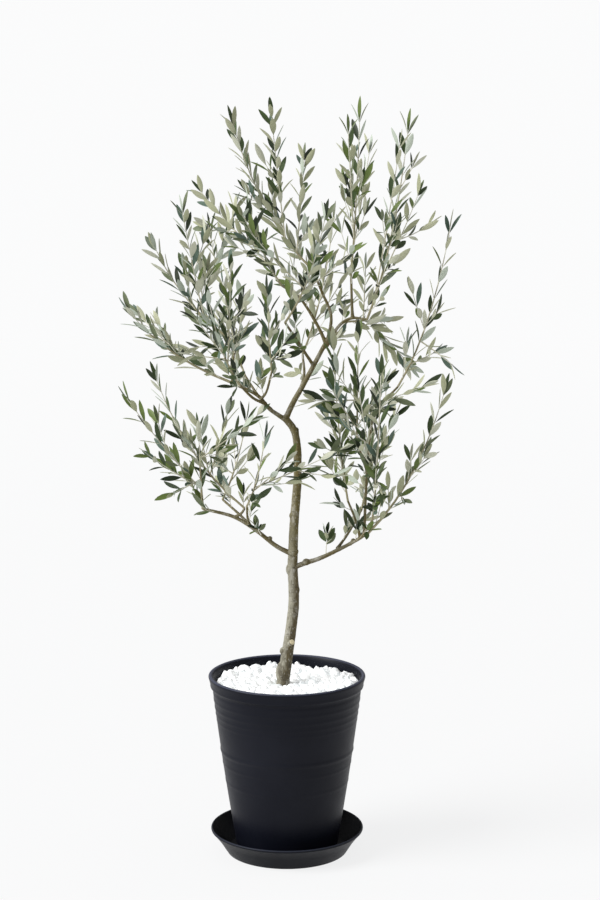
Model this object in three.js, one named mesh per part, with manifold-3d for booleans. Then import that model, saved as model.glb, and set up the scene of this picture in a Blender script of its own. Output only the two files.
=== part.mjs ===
// A young olive tree in a matte plastic pot on its saucer, its soil dressed with white pebbles.
// Millimetres, +Z up. The origin is the middle of the saucer's underside.
// +X is to the right of the tree's front view, +Y goes to its back.
import * as THREE from "three";
import { mergeVertices } from "three/addons/utils/BufferGeometryUtils.js";
import Module from "manifold-3d";

const wasm = await Module();
wasm.setup();

// Driving dimensions of the planter
const CLEARANCE = 0.3;
const ROUND_SIDES = 32;
const SAUCER = { footRadius: 116, rimRadius: 147, height: 47, wall: 2.6, floor: 3, corner: 3 };
const SAUCER_BEAD = { depth: 1.6, height: 4, round: 1 };
const POT = { footRadius: 96, rimRadius: 150.3, height: 346, wall: 3.2, floor: 5, belly: 2, corner: 2 };
const POT_LIP = { height: 24, footRadius: 144.6, stepDepth: 1.6, stepHeight: 3, round: 1.2 };
const POT_RIM = { width: 8, depth: 8, fall: 1.6 };
const POT_RING = { height: 200, width: 9, depth: 1.6 };
const SOIL_DEPTH_BELOW_RIM = 34;
const PEBBLE_BED = { depth: 10, inset: 1.2, edgeRise: 11, edgeRound: 3, rings: 3, seed: 5 };
const STONE = { count: 19, radius: 17, breadth: 0.85, flatness: 0.62, sizePlay: 0.15, lift: 1.5 };
const STONE_MARGIN = { edge: 20, trunk: 30 };
const POT_FOOT = SAUCER.floor + CLEARANCE;
const GROUND = POT_FOOT + POT.height - SOIL_DEPTH_BELOW_RIM + CLEARANCE;

// Driving dimensions of the tree
const CROWN = new THREE.Box3(new THREE.Vector3(-320, -262, 640), new THREE.Vector3(330, 262, 1442));
const LIMB_SKIN = 0.35;
const ROOT_COLLAR = { swell: 1.3, length: 9 };
const TRUNK_FLARE = { swell: 3.6, length: 24 };
const CUT_STUB = { root: [20, 0, 775], tip: [17, 0, 824], radius: [7, 6], sides: 8, steps: 2 };
const SHOOT = { rootRadius: 2.8, forkRadius: 2.3, tipRadius: 2, sides: 3 };
const TWIG_STEPS = { stem: 3, fork: 2, side: 1 };
// How much of its way outwards, and of its rise, a shoot has made at its bend
const STEM_BEND = { outward: 0.68, upward: 0.34 };
const FORK_BEND = { outward: 0.54, upward: 0.46 };
const FORK_RANGE = [0.1, 0.42];
const SIDE_SHOOT = { firstAt: 0.4, spacing: 120, nearReach: 121, farReach: 68, reachPlay: 0.2,
  spread: 0.7, rise: 0.4, bareShare: 0.1 };
const LEAF = { nearLength: 76, farLength: 55, sizePlay: 0.1, slimness: 0.314, thickness: 3.2,
  widestAt: 0.42, sink: 0.9 };
const LEAF_STEP = { spacing: 30, start: 0.3, bareShare: 0.08, turn: Math.PI * 0.75, turnPlay: 0.25,
  spread: 0.68, spreadPlay: 0.15 };
const TIP_LEAF = { length: 52, greatestShare: 0.45, overlap: 5 };
const SPACE_MARGIN = 38;
const TOUCH_DISTANCE = 0.6;
const MERGE_WITHIN = 0.2;
const GOLDEN_ANGLE = Math.PI * (3 - Math.sqrt(5));

// Where each limb runs, from its root inside the limb that carries it to its tip,
// with its radius at both ends.
const limbs = [
  { name: "trunk", radius: [12.2, 6.8], sides: 10, steps: 12,
    course: [[-9, 0, 296], [-8, 0, 327], [2, 2, 396], [13, 5, 484], [11, 8, 566], [14.5, 5, 649],
      [20.5, 0, 735], [15, -2, 818], [-4, 0, 846]] },
  { name: "low_left_bough", radius: [4.6, 2.9], sides: 6, steps: 6,
    course: [[10, 6, 582], [-19, 6, 597], [-60, 12, 628], [-100, 20, 651], [-160, 30, 665]] },
  { name: "low_right_bough", radius: [5.0, 3.0], sides: 6, steps: 6,
    course: [[10, 7, 555], [33, 6, 564], [63, 6, 574], [124, 12, 603], [155, 20, 620]] },
  { name: "left_bough", radius: [4.2, 2.9], sides: 6, steps: 5,
    course: [[-2, 0, 841], [-33, -4, 863], [-54, -9, 888], [-105, -20, 915]] },
  { name: "leader_bough", radius: [5.6, 4.0], sides: 6, steps: 4,
    course: [[-4, 0, 838], [12, 0, 873], [29, 0, 903], [47, 0, 937], [74, 0, 988]] },
  { name: "crown_left_bough", radius: [3.4, 2.3], sides: 6, steps: 5,
    course: [[74, 0, 984], [57, 0, 1020], [23, -4, 1072], [-10, -10, 1095]] },
  { name: "crown_middle_bough", radius: [3.3, 2.3], sides: 6, steps: 5,
    course: [[75, 0, 984], [83, 0, 1036], [65, 2, 1083], [50, 0, 1120]] },
  { name: "crown_right_bough", radius: [3.6, 2.4], sides: 6, steps: 3,
    course: [[74, 0, 980], [101, 2, 1021], [122, 4, 1032], [150, 0, 1030]] },
  { name: "crown_top_bough", radius: [2.9, 2.2], sides: 6, steps: 3,
    course: [[123, 4, 1031], [121, 4, 1078], [120, 5, 1120]] },
  { name: "low_left_inner_bough", radius: [2.8, 2.2], sides: 6, steps: 3,
    course: [[-100, 20, 650], [-86, 13, 660], [-80, 10, 670]] },
  { name: "low_crossing_bough", radius: [2.6, 2.2], sides: 6, steps: 3,
    course: [[-70, 14, 635], [-74, -8, 655], [-75, -25, 680]] },
  { name: "low_back_bough", radius: [3.0, 2.3], sides: 6, steps: 3,
    course: [[-60, 12, 627], [-88, 60, 645], [-125, 100, 670]] },
  { name: "low_right_upper_bough", radius: [3.0, 2.2], sides: 6, steps: 7,
    course: [[147, 18, 617], [149, 4, 690], [152, -4, 760], [156, 0, 805], [167, 5, 855],
             [209, 12, 902]] },
  { name: "low_right_inner_bough", radius: [2.6, 2.2], sides: 6, steps: 3,
    course: [[140, 15, 610], [130, -4, 650], [115, -20, 690]] },
  { name: "front_right_bough", radius: [2.9, 2.3], sides: 6, steps: 3,
    course: [[120, 11, 601], [140, -28, 622], [160, -58, 660]] },
  { name: "low_right_back_bough", radius: [2.8, 2.2], sides: 6, steps: 3,
    course: [[96, 9, 592], [118, 48, 615], [144, 88, 652]] },
  { name: "centre_right_bough", radius: [2.5, 2.1], sides: 6, steps: 3,
    course: [[151, -2, 745], [141, -38, 775], [130, -70, 815]] },
  { name: "centre_left_bough", radius: [2.6, 2.1], sides: 6, steps: 3,
    course: [[-48, -8, 881], [-37, -38, 900], [-27, -60, 940]] },
  { name: "left_upper_bough", radius: [2.8, 2.2], sides: 6, steps: 3,
    course: [[-100, -19, 913], [-101, -2, 945], [-95, 10, 985]] },
  { name: "front_left_bough", radius: [3.0, 2.3], sides: 6, steps: 3,
    course: [[-40, -6, 872], [-62, -55, 890], [-85, -100, 920]] },
  { name: "back_left_bough", radius: [3.0, 2.3], sides: 6, steps: 3,
    course: [[-30, -3, 861], [-55, 55, 880], [-80, 105, 910]] },
  { name: "front_bough", radius: [3.2, 2.3], sides: 6, steps: 3,
    course: [[50, 0, 944], [27, -55, 985], [-2, -105, 1035]] },
  { name: "back_bough", radius: [3.2, 2.3], sides: 6, steps: 3,
    course: [[26, 0, 898], [33, 62, 920], [30, 120, 950]] },
  { name: "back_right_bough", radius: [3.1, 2.3], sides: 6, steps: 3,
    course: [[70, 0, 978], [90, 52, 990], [115, 105, 1015]] },
];

// Each mass of foliage: the limb it grows on from, where its main shoot ends, where the first
// and the last of its fan of shoots end, and how many the fan has.
const masses = [
  { name: "foliage_crown_top", limb: "crown_top_bough", seed: 11,
    main: [135, -20, 1442], first: [110, -90, 1410], last: [160, 95, 1370], fan: 2 },
  { name: "foliage_crown_middle", limb: "crown_middle_bough", seed: 12,
    main: [-110, 55, 1425], first: [-30, -45, 1440], last: [35, 130, 1355], fan: 2 },
  { name: "foliage_crown_right", limb: "crown_right_bough", seed: 13,
    main: [225, -60, 1420], first: [260, 110, 1285], last: [205, -165, 1385], fan: 2 },
  { name: "foliage_crown_left", limb: "crown_left_bough", seed: 14,
    main: [-75, -80, 1285], first: [-180, 90, 1285], last: [-85, -170, 1250], fan: 2 },
  { name: "foliage_left_outer", limb: "left_bough", seed: 15,
    main: [-310, -30, 1075], first: [-300, 60, 1055], last: [-260, 90, 1035], fan: 2 },
  { name: "foliage_left_upper", limb: "left_upper_bough", seed: 16,
    main: [-260, 50, 1190], first: [-195, -60, 1265], last: [-90, 150, 1260], fan: 2 },
  { name: "foliage_low_left_outer", limb: "low_left_bough", seed: 17,
    main: [-165, -20, 845], first: [-310, -70, 915], last: [-220, -120, 715], fan: 3 },
  { name: "foliage_low_left_inner", limb: "low_left_inner_bough", seed: 18,
    main: [-260, 60, 945], first: [-175, 110, 840], last: [-30, -20, 875], fan: 3 },
  { name: "foliage_low_crossing", limb: "low_crossing_bough", seed: 19,
    main: [-35, -130, 860], first: [130, -90, 815], last: [20, -110, 800], fan: 2 },
  { name: "foliage_low_back", limb: "low_back_bough", seed: 20,
    main: [-75, 190, 850], first: [-145, 150, 740], last: [-60, 180, 760], fan: 2 },
  { name: "foliage_low_right_outer", limb: "low_right_bough", seed: 21,
    main: [305, 0, 930], first: [220, -60, 690], last: [195, 100, 715], fan: 2 },
  { name: "foliage_right_tall", limb: "low_right_upper_bough", seed: 22,
    main: [310, 20, 1235], first: [330, -40, 930], last: [305, 60, 975], fan: 2 },
  { name: "foliage_low_right_inner", limb: "low_right_inner_bough", seed: 23,
    main: [85, -60, 1025], first: [50, -60, 810], last: [135, -50, 820], fan: 3 },
  { name: "foliage_front_right", limb: "front_right_bough", seed: 24,
    main: [170, -200, 990], first: [175, -150, 725], last: [125, -210, 955], fan: 3 },
  { name: "foliage_low_right_back", limb: "low_right_back_bough", seed: 30,
    main: [180, 220, 880], first: [225, 180, 855], last: [125, 220, 690], fan: 3 },
  { name: "foliage_centre_right", limb: "centre_right_bough", seed: 34,
    main: [130, -130, 1045], first: [20, -130, 895], last: [275, -150, 935], fan: 4 },
  { name: "foliage_centre_left", limb: "centre_left_bough", seed: 33,
    main: [-35, -110, 1125], first: [5, -120, 1070], last: [10, -140, 980], fan: 3 },
  { name: "foliage_front_left", limb: "front_left_bough", seed: 25,
    main: [-140, -225, 1115], first: [-195, -190, 990], last: [-95, -240, 1170], fan: 3 },
  { name: "foliage_back_left", limb: "back_left_bough", seed: 26,
    main: [-130, 225, 1115], first: [-225, 180, 950], last: [-85, 240, 1075], fan: 3 },
  { name: "foliage_front", limb: "front_bough", seed: 27,
    main: [75, -230, 1265], first: [-75, -250, 1225], last: [135, -240, 1190], fan: 2 },
  { name: "foliage_back", limb: "back_bough", seed: 28,
    main: [95, 235, 1240], first: [-50, 240, 1115], last: [130, 250, 1120], fan: 3 },
  { name: "foliage_back_right", limb: "back_right_bough", seed: 29,
    main: [205, 215, 1005], first: [260, 190, 895], last: [155, 230, 1140], fan: 2 },
];

// Two small tufts that sprout straight from the side of a low bough.
const tufts = [
  { name: "foliage_low_left_tuft", limb: "low_left_bough", seed: 31,
    root: [-48, 9, 617], tip: [-58, -12, 640] },
  { name: "foliage_low_right_tuft", limb: "low_right_bough", seed: 32,
    root: [74, 7, 579], tip: [76, 0, 622] },
];
const TUFT = { leaves: 5, leafLength: 30, leafShortening: 2, leafWidth: 11, spread: 0.75,
  topSpread: 0.1, topLeafAt: 0.94, leafStep: 0.1 };

// Finishes
const plastic = new THREE.MeshStandardMaterial({ color: 0x202228, roughness: 0.55, metalness: 0 });
const stone = new THREE.MeshStandardMaterial({ color: 0xf3f3ef, roughness: 0.7, metalness: 0 });
const earth = new THREE.MeshStandardMaterial({ color: 0x3b2f25, roughness: 1, metalness: 0 });
const bark = new THREE.MeshStandardMaterial({ color: 0x86826d, roughness: 0.9, metalness: 0 });
const foliage = new THREE.MeshStandardMaterial({ color: 0x7a8564, roughness: 0.6, metalness: 0 });

// A repeatable run of numbers between 0 and 1 for each seed.
function seededRandom(seed) {
  let state = Math.imul(seed, 2654435761) >>> 0;
  return function () {
    state = (Math.imul(state, 1664525) + 1013904223) >>> 0;
    return state / 4294967296;
  };
}

// A factor about 1, up to the given play more or less.
function varied(random, play) {
  return 1 + play * (2 * random() - 1);
}

function vector(coordinates) {
  return new THREE.Vector3(...coordinates);
}

// A closed geometry as a solid: shared corners are merged and collapsed faces left out.
function solidOf(geometry) {
  const bare = new THREE.BufferGeometry();
  bare.setAttribute("position", geometry.attributes.position);
  bare.setIndex(geometry.index);
  const merged = mergeVertices(bare, 1e-4);
  const corners = merged.index.array;
  const faces = [];
  for (let i = 0; i < corners.length; i += 3) {
    const [a, b, c] = [corners[i], corners[i + 1], corners[i + 2]];
    if (a !== b && b !== c && c !== a) faces.push(a, b, c);
  }
  const vertProperties = new Float32Array(merged.attributes.position.array);
  return new wasm.Manifold(new wasm.Mesh({ numProp: 3, vertProperties, triVerts: new Uint32Array(faces) }));
}

// The solid's main body: hollows that joining has sealed are filled and loose scraps dropped.
function mainBody(solid) {
  return solid.decompose().reduce((best, body) => (body.volume() > best.volume() ? body : best));
}

function namedMesh(name, solid, material) {
  const { vertProperties, triVerts } = solid.getMesh();
  const geometry = new THREE.BufferGeometry();
  geometry.setAttribute("position", new THREE.BufferAttribute(vertProperties, 3));
  geometry.setIndex(new THREE.BufferAttribute(triVerts, 1));
  geometry.computeVertexNormals();
  const mesh = new THREE.Mesh(geometry, material);
  mesh.name = name;
  return mesh;
}

// A profile of [radius, height] pairs turned round the upright axis.
function turned(profile) {
  const points = profile.map(([radius, height]) => new THREE.Vector2(radius, height));
  return new THREE.LatheGeometry(points, ROUND_SIDES).rotateX(Math.PI / 2);
}

function saucerSolid() {
  const { footRadius, rimRadius, height, wall, floor, corner } = SAUCER;
  const bead = SAUCER_BEAD;
  return solidOf(turned([
    [0, 0],
    [footRadius, 0],
    [rimRadius - bead.depth, height - bead.height - bead.round],
    [rimRadius, height - bead.height],
    [rimRadius, height - bead.round],
    [rimRadius - bead.round, height],
    [rimRadius - wall, height],
    [footRadius + 1 - wall, floor + 1],
    [footRadius - corner - wall, floor],
    [0, floor],
  ]));
}

// The pot's outer radius at a height above its foot, up to the step under the lip.
function potRadiusAt(height) {
  const share = height / (POT.height - POT_LIP.height);
  const belly = POT.belly * Math.sin(Math.PI * share);
  return THREE.MathUtils.lerp(POT.footRadius, POT_LIP.footRadius - POT_LIP.stepDepth, share) + belly;
}

function potSolid() {
  const { rimRadius, height, wall, floor, corner } = POT;
  const lip = POT_LIP;
  const lipFoot = height - lip.height;
  const ringLow = POT_RING.height - POT_RING.width / 2;
  const ringHigh = POT_RING.height + POT_RING.width / 2;
  return solidOf(turned([
    [0, 0],
    [potRadiusAt(0) - corner, 0],
    [potRadiusAt(corner), corner],
    [potRadiusAt(ringLow / 2), ringLow / 2],
    [potRadiusAt(ringLow), ringLow],
    [potRadiusAt(POT_RING.height) + POT_RING.depth, POT_RING.height],
    [potRadiusAt(ringHigh), ringHigh],
    [potRadiusAt(lipFoot), lipFoot],
    [lip.footRadius, lipFoot + lip.stepHeight],
    [rimRadius, height - lip.round],
    [rimRadius - lip.round, height],
    [rimRadius - POT_RIM.width, height - POT_RIM.fall],
    [potRadiusAt(lipFoot) - wall, height - POT_RIM.depth],
    [potRadiusAt(lipFoot) - wall, lipFoot],
    [potRadiusAt(lipFoot / 2) - wall, lipFoot / 2],
    [potRadiusAt(floor) - wall, floor],
    [0, floor],
  ]));
}

// The potting soil fills the pot up to the pebble bed.
function soilSolid() {
  const { height, wall, floor } = POT;
  const inset = wall + CLEARANCE;
  const lipFoot = height - POT_LIP.height;
  const top = height - SOIL_DEPTH_BELOW_RIM;
  const bottom = floor + CLEARANCE;
  const topShare = (top - lipFoot / 2) / (lipFoot / 2);
  const topRadius = THREE.MathUtils.lerp(potRadiusAt(lipFoot / 2), potRadiusAt(lipFoot), topShare);
  return solidOf(turned([
    [0, bottom],
    [potRadiusAt(floor) - inset, bottom],
    [potRadiusAt(lipFoot / 2) - inset, lipFoot / 2],
    [topRadius - inset, top],
    [0, top],
  ]));
}

// A bed of white pebbles, open round the trunk and piled up towards the pot's wall, with
// rounded stones standing out of it.
function pebbleSolid(trunkSkin) {
  const edge = potRadiusAt(GROUND - POT_FOOT) - POT.wall - PEBBLE_BED.inset;
  const { depth, edgeRise, edgeRound, rings } = PEBBLE_BED;
  const random = seededRandom(PEBBLE_BED.seed);
  const [trunkX, trunkY] = limbs[0].course[1];
  const levelAt = (radius) => GROUND + depth + edgeRise * (radius / edge) ** 2;
  const surface = [];
  for (let i = rings; i >= 0; i--) {
    const radius = ((edge - edgeRound) * i) / rings;
    surface.push([radius, levelAt(radius)]);
  }
  let bed = solidOf(turned([[0, GROUND], [edge, GROUND], [edge, levelAt(edge) - edgeRound], ...surface]));
  for (let i = 0; i < STONE.count; i++) {
    const distance = (edge - STONE_MARGIN.edge) * Math.sqrt((i + 0.5) / STONE.count);
    const x = distance * Math.cos(i * GOLDEN_ANGLE);
    const y = distance * Math.sin(i * GOLDEN_ANGLE);
    if (Math.hypot(x - trunkX, y - trunkY) < STONE_MARGIN.trunk) continue;
    const size = STONE.radius * varied(random, STONE.sizePlay);
    const pebble = new THREE.IcosahedronGeometry(1, 0)
      .rotateX(random() * Math.PI)
      .rotateY(random() * Math.PI)
      .scale(size, size * STONE.breadth, size * STONE.flatness)
      .rotateZ(random() * Math.PI)
      .translate(x, y, levelAt(distance) + STONE.lift * random());
    bed = bed.add(solidOf(pebble));
  }
  return mainBody(bed.subtract(trunkSkin));
}

// A tube along a course, with its own radius at each step. A skin makes it thicker and
// longer by that much, for the clearance round a neighbour.
function taperedTube(course, radiusAt, sides, steps, skin = 0) {
  const tube = new THREE.CylinderGeometry(1, 1, 1, sides, steps);
  const frames = course.computeFrenetFrames(steps, false);
  const corner = tube.attributes.position;
  for (let i = 0; i < corner.count; i++) {
    const step = Math.round((corner.getY(i) + 0.5) * steps);
    const radius = radiusAt(step / steps) + skin;
    let stretch = 0;
    if (step === 0) stretch = -skin;
    if (step === steps) stretch = skin;
    const place = course.getPointAt(step / steps)
      .addScaledVector(frames.normals[step], corner.getX(i) * radius)
      .addScaledVector(frames.binormals[step], -corner.getZ(i) * radius)
      .addScaledVector(frames.tangents[step], stretch);
    corner.setXYZ(i, place.x, place.y, place.z);
  }
  return solidOf(tube);
}

// Taper from root to tip, with a swelling at the root that dies away along the limb.
function limbRadius(limb, course) {
  const swelling = limb.name === "trunk" ? TRUNK_FLARE : ROOT_COLLAR;
  const length = course.getLength();
  return (share) => THREE.MathUtils.lerp(...limb.radius, share)
    + swelling.swell * Math.exp((-share * length) / swelling.length);
}

function overlapping(a, b) {
  const [boxA, boxB] = [a.boundingBox(), b.boundingBox()];
  return [0, 1, 2].every((axis) => boxA.min[axis] <= boxB.max[axis] + 1
    && boxB.min[axis] <= boxA.max[axis] + 1);
}

// The short stump where an earlier top was cut off, above the bend of the trunk.
function cutStub() {
  const { root, tip, radius, sides, steps } = CUT_STUB;
  const course = new THREE.LineCurve3(vector(root), vector(tip));
  return taperedTube(course, (share) => THREE.MathUtils.lerp(...radius, share), sides, steps);
}

// The trunk with its stump, cut off flat at the ground.
function standingTrunk(tube) {
  const side = 2 * POT.rimRadius;
  const below = new THREE.BoxGeometry(side, side, side).translate(0, 0, GROUND - side / 2);
  return tube.add(cutStub()).subtract(solidOf(below));
}

// Every limb is cut clear of the limbs made before it.
function growLimbs() {
  const grown = new Map();
  for (const limb of limbs) {
    const course = new THREE.CatmullRomCurve3(limb.course.map(vector), false, "centripetal");
    const radiusAt = limbRadius(limb, course);
    const skin = taperedTube(course, radiusAt, limb.sides, limb.steps, LIMB_SKIN);
    let solid = taperedTube(course, radiusAt, limb.sides, limb.steps);
    if (limb.name === "trunk") solid = standingTrunk(solid);
    for (const other of grown.values()) {
      if (overlapping(solid, other.skin)) solid = solid.subtract(other.skin);
    }
    grown.set(limb.name, { course, skin, solid: mainBody(solid) });
  }
  return grown;
}

// A shoot leaves outwards and bends up towards its end.
function shootCourse(start, end, bendShares) {
  const reach = end.clone().sub(start);
  const bend = start.clone().add(vector([
    reach.x * bendShares.outward,
    reach.y * bendShares.outward,
    reach.z * bendShares.upward,
  ]));
  return new THREE.QuadraticBezierCurve3(start, bend, end);
}

// The main shoot of a mass grows on from its limb's tip, and a fan of shoots forks off it.
function leadingShoots(mass, base) {
  const random = seededRandom(mass.seed);
  const main = shootCourse(base, vector(mass.main), STEM_BEND);
  const first = vector(mass.first).sub(base);
  const last = vector(mass.last).sub(base);
  const shoots = [main];
  for (let i = 0; i < mass.fan; i++) {
    const share = i / (mass.fan - 1);
    const heading = first.clone().normalize().lerp(last.clone().normalize(), share).normalize();
    const distance = THREE.MathUtils.lerp(first.length(), last.length(), share);
    const fork = main.getPoint(THREE.MathUtils.lerp(...FORK_RANGE, random()));
    const end = base.clone().addScaledVector(heading, distance);
    shoots.push(shootCourse(fork, end, FORK_BEND));
  }
  return shoots;
}

// A direction square to a shoot, at a turn round it that starts from the level.
function sideways(tangent, turn) {
  const level = new THREE.Vector3(0, 0, 1).cross(tangent).normalize();
  const lift = tangent.clone().cross(level);
  return level.multiplyScalar(Math.cos(turn)).addScaledVector(lift, Math.sin(turn));
}

// A shoot's direction, turned by an angle towards its side.
function turnedTowards(tangent, side, angle) {
  return tangent.clone().multiplyScalar(Math.cos(angle)).addScaledVector(side, Math.sin(angle));
}

// Side shoots leave a leading shoot by turns round it, shorter towards its end, and bend up.
function sideShoots(parent, random) {
  const length = parent.getLength();
  const count = Math.floor((length * (1 - SIDE_SHOOT.firstAt)) / SIDE_SHOOT.spacing);
  const turnStart = random() * Math.PI * 2;
  const shoots = [];
  for (let i = 0; i < count; i++) {
    const at = SIDE_SHOOT.firstAt + (i * SIDE_SHOOT.spacing) / length;
    const tangent = parent.getTangent(at);
    const side = sideways(tangent, turnStart + i * GOLDEN_ANGLE);
    const heading = turnedTowards(tangent, side, SIDE_SHOOT.spread);
    const reach = THREE.MathUtils.lerp(SIDE_SHOOT.nearReach, SIDE_SHOOT.farReach, at)
      * varied(random, SIDE_SHOOT.reachPlay);
    const start = parent.getPoint(at);
    const bend = start.clone().addScaledVector(heading, reach / 2);
    const end = bend.clone().add(heading.setZ(heading.z + SIDE_SHOOT.rise).setLength(reach / 2));
    shoots.push(new THREE.QuadraticBezierCurve3(start, bend, end));
  }
  return shoots;
}

// A thin leaf of eight faces, sunk a little past its root, widest a little before its middle.
function leafSolid(root, along, facing, length, width) {
  const leaf = new THREE.OctahedronGeometry(1, 0);
  const across = new THREE.Vector3().crossVectors(along, facing).normalize();
  const normal = new THREE.Vector3().crossVectors(across, along);
  const corner = leaf.attributes.position;
  for (let i = 0; i < corner.count; i++) {
    let forward = LEAF.widestAt * length;
    if (corner.getY(i) > 0.5) forward = length;
    if (corner.getY(i) < -0.5) forward = -LEAF.sink;
    const place = root.clone()
      .addScaledVector(across, (corner.getX(i) * width) / 2)
      .addScaledVector(along, forward)
      .addScaledVector(normal, (corner.getZ(i) * LEAF.thickness) / 2);
    corner.setXYZ(i, place.x, place.y, place.z);
  }
  return solidOf(leaf);
}

// The length of the leaf that ends a shoot.
function tipLeafLength(shootLength) {
  return Math.min(TIP_LEAF.length, shootLength * TIP_LEAF.greatestShare);
}

// The leaves of one shoot: one at each step, a quarter turn and a half on from the last,
// and one at the very end.
function leavesOf(shoot, bareShare, random) {
  const length = shoot.getLength();
  const leafyEnd = 1 - tipLeafLength(length) / length;
  const count = Math.max(1, Math.round(((leafyEnd - bareShare) * length) / LEAF_STEP.spacing));
  const leaves = [];
  let turn = random() * Math.PI * 2;
  for (let i = 0; i < count; i++) {
    const at = bareShare + ((leafyEnd - bareShare) * (i + LEAF_STEP.start)) / count;
    turn += LEAF_STEP.turn + LEAF_STEP.turnPlay * (2 * random() - 1);
    const tangent = shoot.getTangent(at);
    const spread = LEAF_STEP.spread * varied(random, LEAF_STEP.spreadPlay);
    const side = sideways(tangent, turn);
    const along = turnedTowards(tangent, side, spread);
    const facing = turnedTowards(tangent, side, spread - Math.PI / 2);
    const size = THREE.MathUtils.lerp(LEAF.nearLength, LEAF.farLength, at);
    leaves.push({ root: shoot.getPoint(at), along, facing, length: size * varied(random, LEAF.sizePlay) });
  }
  const root = shoot.getPoint(leafyEnd);
  const along = shoot.v2.clone().sub(root).normalize();
  leaves.push({ root, along, facing: sideways(along, turn), length: shoot.v2.distanceTo(root) });
  return leaves;
}

// The woody part of a shoot stops where its last leaf begins.
function twigSolid(shoot, rootRadius, steps) {
  const length = shoot.getLength();
  const share = 1 - (tipLeafLength(length) - TIP_LEAF.overlap) / length;
  const bend = shoot.v0.clone().lerp(shoot.v1, share);
  const course = new THREE.QuadraticBezierCurve3(shoot.v0, bend, shoot.getPoint(share));
  const radiusAt = (at) => THREE.MathUtils.lerp(rootRadius, SHOOT.tipRadius, at);
  return taperedTube(course, radiusAt, SHOOT.sides, steps);
}

// A mass keeps to the box round its own shoots, and to the crown.
function spaceOf(ends) {
  return new THREE.Box3().setFromPoints(ends).expandByScalar(SPACE_MARGIN).intersect(CROWN);
}

// Whether a twig or leaf stands clear of everything built before it.
function isClear(candidate, built) {
  return built.every((solid) => !overlapping(candidate, solid)
    || candidate.minGap(solid, TOUCH_DISTANCE) >= TOUCH_DISTANCE);
}

// The leaves of one shoot that stay in the mass's space, clear of all but their own twig.
function clearLeaves(shoot, bareShare, random, space, others) {
  const leaves = [];
  for (const leaf of leavesOf(shoot, bareShare, random)) {
    const nearTip = leaf.root.clone().addScaledVector(leaf.along, leaf.length - CLEARANCE);
    if (!space.containsPoint(nearTip)) continue;
    const width = leaf.length * LEAF.slimness;
    const solid = leafSolid(leaf.root, leaf.along, leaf.facing, leaf.length, width);
    if (isClear(solid, others) && isClear(solid, leaves)) leaves.push(solid);
  }
  return leaves;
}

// The twigs of one mass: its stem, the fan of shoots and the side shoots that stay clear.
function growTwigs(mass, limb, shoots, space, built) {
  const twigs = [];
  for (const [index, shoot] of shoots.entries()) {
    const random = seededRandom(mass.seed * 100 + index);
    const isStem = index === 0;
    const solid = isStem
      ? mainBody(twigSolid(shoot, SHOOT.rootRadius, TWIG_STEPS.stem).subtract(limb.skin))
      : twigSolid(shoot, SHOOT.forkRadius, TWIG_STEPS.fork);
    if (!isStem && !isClear(solid, built)) continue;
    twigs.push({ shoot, solid, bareShare: LEAF_STEP.bareShare, random });
    for (const side of sideShoots(shoot, random)) {
      const sideTwig = twigSolid(side, SHOOT.forkRadius, TWIG_STEPS.side);
      if (!space.containsPoint(side.v2) || !isClear(sideTwig, built)) continue;
      twigs.push({ shoot: side, solid: sideTwig, bareShare: SIDE_SHOOT.bareShare, random });
    }
  }
  return twigs;
}

// One mass: its twigs and all their leaves, fused into one body. Faces that lie in one plane
// are merged.
function growMass(mass, limb, built) {
  const base = limb.course.getPointAt(1);
  const shoots = leadingShoots(mass, base);
  const space = spaceOf([base, ...shoots.map((shoot) => shoot.v2)]);
  const twigs = growTwigs(mass, limb, shoots, space, built);
  const leaves = [];
  for (const twig of twigs) {
    const otherTwigs = twigs.filter((other) => other !== twig).map((other) => other.solid);
    const others = [...built, ...leaves, ...otherTwigs];
    leaves.push(...clearLeaves(twig.shoot, twig.bareShare, twig.random, space, others));
  }
  const pieces = [...twigs.map((twig) => twig.solid), ...leaves];
  const whole = pieces.reduce((joined, piece) => joined.add(piece));
  return mainBody(whole.asOriginal().simplify(MERGE_WITHIN));
}

// A tuft is one short stem with a rosette of leaves round it.
function growTuft(tuft, limbSkin, built) {
  const random = seededRandom(tuft.seed);
  const stem = new THREE.LineCurve3(vector(tuft.root), vector(tuft.tip));
  const tangent = stem.getTangent(1);
  const twig = taperedTube(stem, () => SHOOT.tipRadius, SHOOT.sides, TWIG_STEPS.side);
  let whole = mainBody(twig.subtract(limbSkin));
  for (let i = 0; i < TUFT.leaves; i++) {
    const spread = i === 0 ? TUFT.topSpread : TUFT.spread;
    const side = sideways(tangent, i * GOLDEN_ANGLE + random());
    const along = turnedTowards(tangent, side, spread);
    const start = stem.getPoint(TUFT.topLeafAt - TUFT.leafStep * i);
    const length = TUFT.leafLength - TUFT.leafShortening * i;
    const leaf = leafSolid(start, along, side, length, TUFT.leafWidth);
    if (isClear(leaf, built)) whole = whole.add(leaf);
  }
  return mainBody(whole);
}

// The planter, placed on the saucer
const planter = new THREE.Group();
planter.name = "planter";
const saucer = namedMesh("saucer", saucerSolid(), plastic);
const pot = namedMesh("pot", potSolid(), plastic);
const soil = namedMesh("soil", soilSolid(), earth);
pot.position.z = POT_FOOT;
soil.position.z = POT_FOOT;
planter.add(saucer, pot, soil);

// The tree, standing in its pebbles
const tree = new THREE.Group();
tree.name = "tree";
const grownLimbs = growLimbs();
for (const [name, limb] of grownLimbs) tree.add(namedMesh(name, limb.solid, bark));
planter.add(namedMesh("pebbles", pebbleSolid(grownLimbs.get("trunk").skin), stone));

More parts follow.
